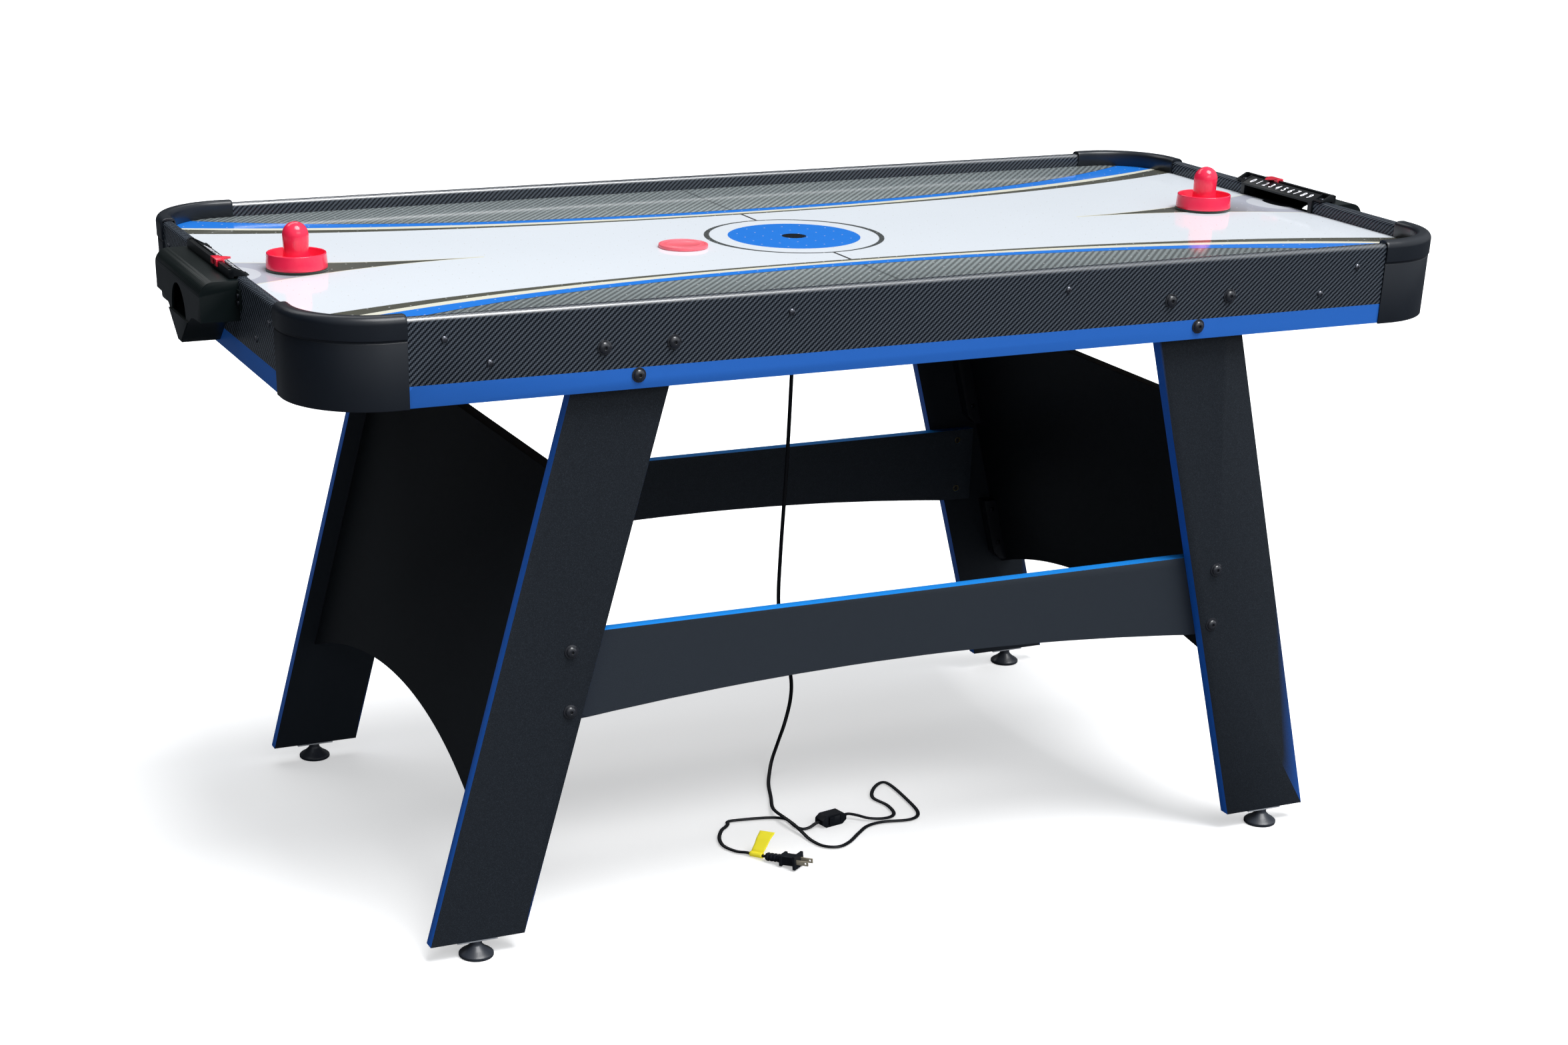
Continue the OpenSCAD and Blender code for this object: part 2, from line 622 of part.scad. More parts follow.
// Sloping digit plate, track and end walls over the goal
module scorer() difference() {
  union() {
    prism_y(-scorer_half, scorer_half) polygon([
      [scorer_x, scorer_under], [scorer_x, rail_top - 1.4], [half_l - 1, rail_top + 6.8],
      [half_l - 1, rail_top + 2], [ridge_x, rail_top + 2], [ridge_x, ridge_z],
      [ridge_out, ridge_z], [ridge_out, scorer_foot], [half_l - 0.2, scorer_foot],
      [half_l - 0.3, scorer_under]]);
    both_y() {
      // cheek beside the goal slot
      box([scorer_x, goal_w / 2 + 0.5, field_z + 0.3],
        [half_l - 0.3, scorer_half, scorer_under + 0.1]);
      // screw tab on the rail and end of the ridge
      box([scorer_x + 2, scorer_half - 0.1, rail_top + 0.2],
        [ridge_x + 0.1, 101, rail_top + 1.7]);
      box([ridge_x, scorer_half - 0.1, scorer_foot], [ridge_out, 102, ridge_z]);
      // outer and inner end walls
      prism_y(98.4, 102) polygon([
        [scorer_x + 4, rail_top + 0.2], [scorer_x + 4, rail_top + 1.4],
        [half_l + 1, rail_top + 9.2], [ridge_x + 2.4, rail_top + 9.2],
        [ridge_x + 2.4, rail_top + 0.2]]);
      prism_y(82, scorer_half + 0.3) polygon([
        [scorer_x, rail_top - 2.4], [scorer_x, rail_top - 0.2],
        [half_l - 1.2, rail_top + 7.8], [half_l - 1.2, rail_top - 2.4]]);
    }
  }
  // hollow under the digit plate
  prism_y(-81, 81) polygon([
    [apron_x + 1.5, scorer_under - 1], [apron_x + 1.5, rail_top - 2.2],
    [half_l - 3, rail_top + 3], [half_l - 3, scorer_under - 1]]);
  both_y() {
    translate([scorer_screw_x, scorer_screw_y, rail_top - 1]) cylinder(r = 2.2, h = 4);
    box([ridge_x + 1, 93, rail_top - 5], [ridge_out - 1, 97.4, rail_top + 9]);
  }
}
// Saddle over the ridge with an arrow over the digits
module score_slider() {
  saddle_t = 2.1;
  saddle_in = ridge_x - 2.6;
  saddle_out = ridge_out + 1.9;
  saddle_z = rail_top + 8.5;
  arrow_x = half_l - 11;
  translate([0, (4.5 - score_shown) * digit_pitch, 0]) {
    box([saddle_in, -13.5, saddle_z], [saddle_out, 13.5, saddle_z + saddle_t]);
    for (y = [-9.5, 9.5]) {
      box([ridge_out + 0.3, y - 4.5, saddle_z - 6], [saddle_out, y + 4.5, saddle_z + 0.5]);
      box([saddle_in, y - 4.5, saddle_z - 5], [ridge_x - 0.4, y + 4.5, saddle_z + 0.5]);
    }
    translate([0, 0, saddle_z]) linear_extrude(saddle_t)
      polygon([[ridge_x - 2.5, -8], [ridge_x - 2.5, 8], [arrow_x, 0.8], [arrow_x, -0.8]]);
  }
}

// ---- power cord -------------------------------------------------------------
tag_at = [-134.6, -206.8, 4.2];
// Route from the blower down to the floor, and along it to the switch: [x, y, z]
switch_route = [
  [36, 68, cord_exit_z], [40, 75, cord_exit_z], [44, 83, cord_exit_z - 1],
  [46, 87, cord_exit_z - 11], [46, 87, 640], [45, 86, 568], [42, 86, 440], [37, 86, 320],
  [36, 85, 241], [47, 85, 180], [59, 85, 133], [60, 85, 100], [52, 84, 65], [39, 79, 36],
  [24, 66, 16], [8, 40, 6], [-8, 8, 3.5], [-24, -34, 3], [-38, -68, 4.5], [-46, -96, 9],
  [-46, -122, 10.5], [-43, -148, 9.5], [-40, -170, 5.5], [-38, -192, 3], [-31, -217, 3],
  [-13, -227, 3], [8, -218, 3], [34, -195, 3], [57, -177, 3], [83, -172, 3],
  [123, -178, 3], [144, -160, 3], [152, -111, 3], [155, -54, 3], [147, -42, 3],
  [126, -59, 3], [110, -88, 3], [116, -119, 3], [113, -146, 3], [103, -159, 3],
  [86, -162, 3.5], [68, -157, 5], [55, -147, 7.5], [45, -140.5, 8.5], [35, -141.7, 8.5]];
// Route from the switch to the plug: [x, y, z]
plug_route = [
  [-4, -150, 8.5], [-12, -152.3, 7], [-22, -155, 4], [-32, -154, 3], [-37, -143, 3],
  [-37, -126, 3], [-39, -113, 3], [-52, -103, 3], [-74, -97, 3], [-100, -93, 3],
  [-113, -92, 3], [-119, -95, 3], [-121, -101, 3], [-127, -108, 3], [-138, -118, 3],
  [-152, -142, 3], [-157, -168, 3], [-149, -190, 3], [-139, -200, 3.7], tag_at,
  [-129.8, -216, 5.3], [-125, -225.2, 6.5], [-122, -230, 7.1], [-117.3, -236.4, 7.9]];

// Catmull-Rom spline from b to c, with neighbours a and d
function spline(a, b, c, d, t) = 0.5 * ((2 * b) + (c - a) * t
  + (2 * a - 5 * b + 4 * c - d) * t * t + (3 * b - a - 3 * c + d) * t * t * t);
// Point i, held at the ends of the list
function point(p, i) = p[max(0, min(len(p) - 1, i))];
function smooth(p, steps) = [
  for (i = [0:len(p) - 2]) for (j = [0:steps - 1])
    spline(point(p, i - 1), point(p, i), point(p, i + 1), point(p, i + 2), j / steps),
  p[len(p) - 1]];

// Section with n corners swept along a path, its side vector carried
// from point to point so that the tube doesn't twist
module tube(path, r, n) {
  count = len(path);
  function unit(v) = v / norm(v);
  function along(i) = unit(point(path, i + 1) - point(path, i - 1));
  function first_side() = let (t = along(0), up = abs(t[2]) > 0.8 ? [0, 1, 0] : [0, 0, 1])
    unit(cross(t, up));
  function carried(i, side) = let (t = along(i)) unit(side - (side * t) * t);
  function all_sides(i, side, found) = i >= count ? found :
    let (next = carried(i, side)) all_sides(i + 1, next, concat(found, [next]));
  sides = all_sides(0, first_side(), []);
  points = [for (i = [0:count - 1]) let (side = sides[i], up = cross(along(i), side))
    for (k = [0:n - 1])
      path[i] + r * (cos(360 * k / n) * side + sin(360 * k / n) * up)];
  faces = concat(
    [[for (k = [0:n - 1]) k]],
    [[for (k = [n - 1:-1:0]) (count - 1) * n + k]],
    [for (i = [0:count - 2]) for (k = [0:n - 1]) let (turn = (k + 1) % n)
      [i * n + k, (i + 1) * n + k, (i + 1) * n + turn, i * n + turn]]);
  polyhedron(points = points, faces = faces);
}
module power_cord() for (route = [switch_route, plug_route])
  tube(smooth(route, 2), cord_r, 6);
module cord_bushing() rotate(cord_exit_angle) difference() {
  union() {
    rod_x(0, cord_exit_z, housing_r + 0.2, 88, 8);
    rod_x(0, cord_exit_z, 79, housing_r + 0.3, 6);
  }
  rod_x(0, cord_exit_z, 78, 89, cord_r + 0.5);
}

// Switch and plug are drawn lengthwise along X
fitting_hole_r = cord_r + 0.6;
rocker_y = -6.2;
module at_switch() translate([15, -146, 0]) rotate(12) children();
module switch_housing() at_switch() difference() {
  prism_y(-8.5, 8.5) polygon([[-21, 5.5], [-21, 12], [-14, 17.4], [14, 17.4], [21, 12],
    [21, 5.5], [14, 0.2], [-14, 0.2]]);
  box([-10.4, -9, 3], [10.4, -4.2, 14.8]);
  translate([0, rocker_y, 2]) cylinder(r = 1.2, h = 13.8);
  for (x = [-22, 15]) rod_x(0, 8.5, x, x + 7, fitting_hole_r);
}
// Rocker on an upright pin
module switch_rocker() at_switch() translate([0, rocker_y, 0]) {
  translate([0, 0, 3.4]) linear_extrude(11) rotate(5)
    polygon([[-9.6, -3.2], [-9, -3.5], [0, -2.3], [9, -3.5], [9.6, -3.2], [9.6, -0.3],
      [3, 1.1], [-3, 1.1], [-9.6, -0.3]]);
  translate([0, 0, 2.2]) cylinder(r = 1, h = 13.4);
}
blade_y = [-6.35, 6.35];
module at_plug() translate([-122, -229, 7]) rotate([0, -5.7, -54]) children();
module plug_body() at_plug() difference() {
  union() {
    rod_x(0, 0, 0, 25, 4.8);
    // grip rings
    for (i = [0:3]) rod_x(0, 0, 2 + 5.4 * i, 4.8 + 5.4 * i, 5.8);
    box([24, -9.5, -7.5], [28, 9.5, 7.5]);
    box([27, -7.4, -6.2], [47, 7.4, 6.2]);
    box([46, -12.5, -9.5], [50, 12.5, 9.5]);
  }
  rod_x(0, 0, -1, 14, fitting_hole_r);
  for (y = blade_y) box([40, y - 0.85, -3.3], [52, y + 0.85, 3.3]);
}
module plug_blades() at_plug() for (y = blade_y) difference() {
  box([41, y - 0.75, -3.15], [67, y + 0.75, 3.15]);
  rod_y(63, 0, y - 2, y + 2, 1.5);
}
// Blank label folded round the cord next to the plug, with a leaning flap
module cord_tag() translate(tag_at) rotate([0, -6.3, -62.4]) difference() {
  tag_l = 20.5;
  union() {
    rod_x(0, 0, 0, tag_l, 3.75);
    prism_x(0, tag_l) polygon([[0, 3], [-1.2, 3.4], [9.5, 13], [13, 18], [22, 25.6],
      [22.4, 25.2], [13.6, 17.4], [10.2, 12.5], [1.6, 3]]);
  }
  rod_x(0, 0, -1, 22, 3.25);
}

// ---- loose pieces -----------------------------------------------------------
puck_at = [-166, -23];
left_at = [-662, -1];               // pushers
right_at = [621, -6.5];
lift = 0.1;                         // loose pieces' gap over the playing surface
felt_t = 3;
pusher_up = felt_t + 0.1;           // pusher shell above its felt's underside

module on_field(at, up = 0) translate([at[0], at[1], field_z + lift + up]) children();
// Shell with a raised rim and a hollow domed knob
module pusher() {
  r = pusher_r;
  dome_z = pusher_h - pusher_up - lift - 16;
  rotate_extrude($fn = 96) polygon(concat(
    [[r - 2.6, 0], [r, 0], [r, 2], [r - 1.2, 16.6]],
    arc(r - 2.4, 16.6, 1.2, 0, 180, 4),
    [[r - 4.2, 8], [r - 6, 6.4], [19, 5.6], [17.2, 6.6], [16.6, 9]],
    arc(0, dome_z, 16, 0, 90, 10),
    arc(0, dome_z, 13.4, 90, 0),
    [[14.2, 5], [15, 3.2], [r - 5, 3.6], [r - 3, 3]]));
}
module felt() difference() {
  cylinder(r = pusher_r + 0.3, h = felt_t, $fn = 96);
  translate([0, 0, -1]) cylinder(r = 12, h = felt_t + 2);
}
module puck() on_field(puck_at) rotate_extrude($fn = 96) polygon([
  [0, 0.4], [puck_r - 6, 0.4], [puck_r - 5, 0], [puck_r - 1, 0], [puck_r, 0.9],
  [puck_r, puck_t - 0.9], [puck_r - 1, puck_t], [puck_r - 3.4, puck_t],
  [puck_r - 4.6, puck_t - 0.7], [0, puck_t - 0.7]]);

color(apron_black) front() side_rail();  // side_rail_front
color(apron_black) side_rail();  // side_rail_back
color(apron_black) left() end_rail();  // end_rail_left
color(apron_black) end_rail();  // end_rail_right
color(cap_black) left() front() corner_cap();  // corner_cap_fl
color(cap_black) front() corner_cap();  // corner_cap_fr
color(cap_black) left() corner_cap();  // corner_cap_bl
color(cap_black) corner_cap();  // corner_cap_br
color(field_white) playfield();
color(frame_wood) plenum_frame();
color(frame_wood) plenum_ribs();
color(packing_wood) packing_strips();
color(bottom_brown) bottom_panel();
color(box_black) blower_housing();
color(grille_black) blower_grille();
color(can_grey) motor_can();
color(impeller_black) impeller();
color(shaft_steel) impeller_shaft();
color(screw_steel) blower_screws();
color(leg_black) left() front() leg();  // leg_fl
color(leg_black) front() leg();  // leg_fr
color(leg_black) left() leg();  // leg_bl
color(leg_black) leg();  // leg_br
color(panel_black) left() end_panel();  // end_panel_left
color(panel_black) end_panel();  // end_panel_right
color(leg_black) front() stretcher();  // stretcher_front
color(leg_black) stretcher();  // stretcher_back
color(box_black) panel_cleats();
color(cap_black) left() front() foot();  // foot_fl
color(cap_black) front() foot();  // foot_fr
color(cap_black) left() foot();  // foot_bl
color(cap_black) foot();  // foot_br
color(plate_steel) foot_plates();
color(bolt_black) apron_bolts();
color(washer_black) bolt_washers();
color(insert_brass) insert_nuts();
color(bolt_black) stretcher_bolts();
color(screw_black) rail_screws();
color(screw_black) cap_screws();
color(screw_black) goal_screws();
color(screw_black) panel_screws();
color(box_black) left() goal_box();  // goal_box_left
color(box_black) goal_box();  // goal_box_right
color(cap_black) rotate(180) scorer();  // scorer_left
color(cap_black) scorer();  // scorer_right
color(pointer_red) rotate(180) score_slider();  // score_slider_left
color(pointer_red) score_slider();  // score_slider_right
color(cord_black) power_cord();
color(fitting_black) cord_bushing();
color(fitting_black) switch_housing();
color(rocker_black) switch_rocker();
color(fitting_black) plug_body();
color(blade_brass) plug_blades();
color(tag_yellow) cord_tag();
color(pusher_red) on_field(left_at, pusher_up) pusher();  // pusher_left
color(felt_green) on_field(left_at) felt();  // pusher_left_felt
color(pusher_red) on_field(right_at, pusher_up) pusher();  // pusher_right
color(felt_green) on_field(right_at) felt();  // pusher_right_felt
color(puck_red) puck();
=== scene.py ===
import bpy, bmesh, math
import numpy as np
from mathutils import Vector, Matrix


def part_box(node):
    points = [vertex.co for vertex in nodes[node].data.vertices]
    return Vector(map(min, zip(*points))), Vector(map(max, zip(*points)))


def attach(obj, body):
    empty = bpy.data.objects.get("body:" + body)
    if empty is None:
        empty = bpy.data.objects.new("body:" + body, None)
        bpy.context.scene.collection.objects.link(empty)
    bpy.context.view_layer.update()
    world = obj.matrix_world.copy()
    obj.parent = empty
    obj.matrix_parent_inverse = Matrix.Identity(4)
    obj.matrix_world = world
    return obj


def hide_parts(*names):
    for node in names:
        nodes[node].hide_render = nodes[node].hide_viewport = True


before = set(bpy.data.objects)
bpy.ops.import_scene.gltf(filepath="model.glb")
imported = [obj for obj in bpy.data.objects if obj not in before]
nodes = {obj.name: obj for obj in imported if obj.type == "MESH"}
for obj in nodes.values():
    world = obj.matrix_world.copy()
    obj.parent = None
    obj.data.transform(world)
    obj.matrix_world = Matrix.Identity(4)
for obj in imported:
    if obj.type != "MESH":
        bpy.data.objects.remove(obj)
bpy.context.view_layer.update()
scene = bpy.context.scene

# ------------------------------------------------------------------ materials
class S:
    """A node socket with arithmetic."""
    def __init__(self, nt, sock):
        self.nt, self.s = nt, sock
    def op(self, kind, *others, clamp=False):
        n = self.nt.nodes.new("ShaderNodeMath")
        n.operation = kind
        n.use_clamp = clamp
        for i, v in enumerate((self,) + others):
            if isinstance(v, S):
                self.nt.links.new(v.s, n.inputs[i])
            else:
                n.inputs[i].default_value = float(v)
        return S(self.nt, n.outputs[0])
    def __add__(self, o): return self.op("ADD", o)
    def __sub__(self, o): return self.op("SUBTRACT", o)
    def __mul__(self, o): return self.op("MULTIPLY", o)
    def __truediv__(self, o): return self.op("DIVIDE", o)
    def rsub(self, a): return (self * -1.0) + a
    def abs(self): return self.op("ABSOLUTE")
    def sqrt(self): return self.op("SQRT")
    def floor(self): return self.op("FLOOR")
    def fract(self): return self.op("FRACT")
    def mod(self, o): return self.op("FLOORED_MODULO", o)
    def sin(self): return self.op("SINE")
    def cos(self): return self.op("COSINE")
    def pow(self, o): return self.op("POWER", o)
    def min(self, o): return self.op("MINIMUM", o)
    def max(self, o): return self.op("MAXIMUM", o)
    def clamp(self): return self.op("ADD", 0.0, clamp=True)
    def gt(self, e, w):
        """1 above e, 0 below, over a width w."""
        if isinstance(e, S):
            d = self - e
        else:
            d = self + (-e)
        return (d * (1.0 / w) + 0.5).clamp()
    def lt(self, e, w): return self.gt(e, w).rsub(1.0)


class Mat:
    def __init__(self, name, rough=0.5, spec=0.5, metal=0.0, coat=0.0, coat_rough=0.1):
        self.m = bpy.data.materials.new(name)
        self.m.use_nodes = True
        self.nt = self.m.node_tree
        self.b = self.nt.nodes["Principled BSDF"]
        self.b.inputs["Roughness"].default_value = rough
        self.b.inputs["Specular IOR Level"].default_value = spec
        self.b.inputs["Metallic"].default_value = metal
        self.b.inputs["Coat Weight"].default_value = coat
        self.b.inputs["Coat Roughness"].default_value = coat_rough
        tc = self.nt.nodes.new("ShaderNodeTexCoord")
        self.tc = tc
        mm = self.nt.nodes.new("ShaderNodeVectorMath")
        mm.operation = "SCALE"
        mm.inputs["Scale"].default_value = 1000.0
        self.nt.links.new(tc.outputs["Object"], mm.inputs[0])
        self.pos = mm.outputs[0]
        sp = self.nt.nodes.new("ShaderNodeSeparateXYZ")
        self.nt.links.new(mm.outputs[0], sp.inputs[0])
        self.x, self.y, self.z = (S(self.nt, sp.outputs[i]) for i in range(3))
        sn = self.nt.nodes.new("ShaderNodeSeparateXYZ")
        self.nt.links.new(tc.outputs["Normal"], sn.inputs[0])
        self.nx, self.ny, self.nz = (S(self.nt, sn.outputs[i]) for i in range(3))
    def vec(self, x, y, z):
        n = self.nt.nodes.new("ShaderNodeCombineXYZ")
        for i, v in enumerate((x, y, z)):
            if isinstance(v, S):
                self.nt.links.new(v.s, n.inputs[i])
            else:
                n.inputs[i].default_value = float(v)
        return n.outputs[0]
    def noise(self, scale, detail=2.0, rough=0.5, vec=None, dist=0.0):
        """scale is features per millimetre."""
        n = self.nt.nodes.new("ShaderNodeTexNoise")
        n.inputs["Scale"].default_value = scale
        n.inputs["Detail"].default_value = detail
        n.inputs["Roughness"].default_value = rough
        n.inputs["Distortion"].default_value = dist
        self.nt.links.new(vec or self.pos, n.inputs["Vector"])
        return S(self.nt, n.outputs["Fac"])
    def voronoi(self, scale, vec=None, feature="F1"):
        n = self.nt.nodes.new("ShaderNodeTexVoronoi")
        n.feature = feature
        n.inputs["Scale"].default_value = scale
        self.nt.links.new(vec or self.pos, n.inputs["Vector"])
        return S(self.nt, n.outputs["Distance"])
    def mix(self, fac, a, b):
        n = self.nt.nodes.new("ShaderNodeMix")
        n.data_type = "RGBA"
        if isinstance(fac, S):
            self.nt.links.new(fac.s, n.inputs["Factor"])
        else:
            n.inputs["Factor"].default_value = fac
        for key, v in (("A", a), ("B", b)):
            sock = [i for i in n.inputs if i.name == key and i.type == "RGBA"][0]
            if isinstance(v, tuple):
                sock.default_value = (*v, 1.0)
            else:
                self.nt.links.new(v, sock)
        return [o for o in n.outputs if o.type == "RGBA"][0]
    def scale_col(self, col, fac):
        """col times a scalar socket."""
        n = self.nt.nodes.new("ShaderNodeVectorMath")
        n.operation = "SCALE"
        if isinstance(col, tuple):
            n.inputs[0].default_value = col
        else:
            self.nt.links.new(col, n.inputs[0])
        self.nt.links.new(fac.s, n.inputs["Scale"])
        return n.outputs[0]
    def color(self, c):
        if isinstance(c, tuple):
            self.b.inputs["Base Color"].default_value = (*c, 1.0)
        else:
            self.nt.links.new(c, self.b.inputs["Base Color"])
    def roughness(self, v):
        self.nt.links.new(v.s, self.b.inputs["Roughness"])
    def put(self, key, v):
        if isinstance(v, S):
            self.nt.links.new(v.s, self.b.inputs[key])
        else:
            self.b.inputs[key].default_value = v
    def bump(self, h, dist_mm, strength=1.0, base=None):
        n = self.nt.nodes.new("ShaderNodeBump")
        n.inputs["Strength"].default_value = strength
        n.inputs["Distance"].default_value = dist_mm / 1000.0
        self.nt.links.new(h.s, n.inputs["Height"])
        if base is not None:
            self.nt.links.new(base, n.inputs["Normal"])
        self.nt.links.new(n.outputs[0], self.b.inputs["Normal"])
        return n.outputs[0]


def srgb(r, g, b):
    return tuple((c / 12.92 if c <= 0.04045 else ((c + 0.055) / 1.055) ** 2.4) for c in (r / 255, g / 255, b / 255))


def twill(m, u, v, cu, cv):
    """2/2 twill whose ribs climb to the right; returns (light rib mask, thread shade)."""
    a, b = u * (1.0 / cu), v * (1.0 / cv)
    k = (a.floor() - b.floor()).mod(4.0)
    rib = k.lt(1.5, 0.01)
    s1 = (a.fract() * math.pi).sin()
    s2 = (b.fract() * math.pi).sin()
    return rib, s1 * 0.45 + s2 * 0.55


def carbon_board(name, axis, blue_top=713.0):
    """Board laminate: twill print above, blue strip along the lower edge. axis is the board's long direction."""
    long_side = axis == "x"
    m = Mat(name, rough=0.3, spec=0.35 if long_side else 0.10, coat=0.7 if long_side else 0.0, coat_rough=0.34)
    if long_side:
        m.b.inputs["Coat IOR"].default_value = 2.3
        m.put("Coat Weight", m.nz.gt(0.35, 0.3) * m.nz.lt(0.985, 0.02))
    # the laminate wraps over the top edge, so v runs up the outside, across the top and down the inside
    along, across, n_across = (m.x, m.y, m.ny) if axis == "x" else (m.y, m.x, m.nx)
    half = across.gt(0.0, 0.001) * 2.0 - 1.0
    u = along * half * (-1.0 if long_side else 1.0)
    inner = (n_across * half).lt(-0.04, 0.01)
    v = m.z + inner * (m.z * -2.0 + 2 * 787.0) - across.abs()
    warp, shade = twill(m, u, v, 1.75, 1.55)
    var = m.noise(0.35, 2, 0.6) * 0.5 + 0.75
    dark = m.scale_col(srgb(16, 21, 30), shade * 0.5 + 0.60)
    light = m.scale_col(srgb(84, 91, 100), shade * 0.7 + 0.45)
    light = m.scale_col(light, var)
    tw = m.mix(warp, dark, light)
    # blue strip with a fine printed mottle
    mot = m.noise(1.1, 3, 0.65) * 0.24 + 0.86
    blue = m.scale_col(srgb(40, 111, 207), mot)
    strip = m.z.lt(blue_top, 0.3)
    bare = m.z.lt(689.6, 0.1) * m.nz.lt(-0.5, 0.1)
    col = m.mix(strip, tw, blue)
    col = m.mix(bare, col, srgb(60, 52, 44))
    m.color(col)
    m.roughness((strip * 0.16 + 0.22) + m.noise(0.8, 3, 0.6) * 0.08)
    m.bump((shade * warp * 0.7 + shade * 0.3) * strip.rsub(1.0) + m.noise(3.0, 2, 0.5) * 0.5, 0.10, 0.45)
    return m.m


def pvc(name, base=(31, 36, 43), blue_edge=None):
    """Black speckled laminate for the legs, stretchers and end panels; blue_edge gives the mask of the banded edges."""
    m = Mat(name, rough=0.5, spec=0.22)
    sp = m.noise(1.9, 2, 0.7)
    fine = m.noise(0.9, 3, 0.6)
    speck = sp.gt(0.60, 0.08)
    pit = sp.lt(0.40, 0.08)
    col = m.scale_col(srgb(*base), fine * 0.35 + 0.80)
    col = m.mix(speck * 0.6, col, srgb(base[0] + 34, base[1] + 36, base[2] + 38))
    col = m.mix(pit * 0.5, col, srgb(base[0] // 2, base[1] // 2, base[2] // 2))
    if blue_edge is not None:
        mask = blue_edge(m)
        # banding that faces up is painted a lighter blue than the rest: a painted highlight on the lit tops
        blue = m.scale_col(m.mix(m.nz.gt(0.6, 0.1), srgb(30, 104, 208), srgb(34, 140, 232)), m.noise(0.5, 2, 0.5) * 0.2 + 0.9)
        col = m.mix(mask, col, blue)
        m.roughness(mask * -0.22 + 0.50 + sp * 0.10)
        m.bump((sp * mask.rsub(1.0)), 0.14, 0.6)
    else:
        m.roughness(sp * 0.12 + 0.46)
        m.bump(sp, 0.14, 0.6)
    m.color(col)
    return m.m


def moulded(name, col, rough=0.4, grain=1.4, depth=0.05, spec=0.5, coat=0.0, vary=0.18):
    """Injection-moulded plastic with a fine grain, slight colour drift and scuffing."""
    m = Mat(name, rough=rough, spec=spec, coat=coat, coat_rough=0.08)
    n = m.noise(grain, 3, 0.6)
    big = m.noise(0.02, 2, 0.5)
    m.color(m.scale_col(srgb(*col), n * vary + big * vary + (1.0 - vary)))
    m.roughness(n * 0.12 + big * 0.08 + (rough - 0.08))
    m.bump(n, depth, 0.5)
    return m.m


def metal(name, col, rough=0.3, brushed=(1, 1, 1), tint=0.12, metallic=1.0):
    m = Mat(name, rough=rough, metal=metallic)
    v = m.vec(m.x * brushed[0], m.y * brushed[1], m.z * brushed[2])
    n = m.noise(1.6, 3, 0.6, vec=v)
    spot = m.noise(0.12, 3, 0.6)
    m.color(m.scale_col(srgb(*col), n * tint + spot * tint + (1.0 - tint)))
    m.roughness(n * 0.16 + spot * 0.1 + (rough - 0.1))
    m.bump(n, 0.02, 0.4)
    return m.m


def timber(name, col, axis="x"):
    m = Mat(name, rough=0.75, spec=0.25)
    v = m.vec(m.x * (0.03 if axis == "x" else 0.5), m.y * (0.5 if axis == "x" else 0.03), m.z * 0.5)
    n = m.noise(1.0, 4, 0.65, vec=v, dist=0.6)
    f = m.noise(1.2, 3, 0.7)
    c = m.mix(n.gt(0.5, 0.3), srgb(*col), tuple(x * 0.6 for x in srgb(*col)))
    m.color(m.scale_col(c, f * 0.3 + 0.82))
    m.bump(n + f * 0.5, 0.15, 0.5)
    return m.m


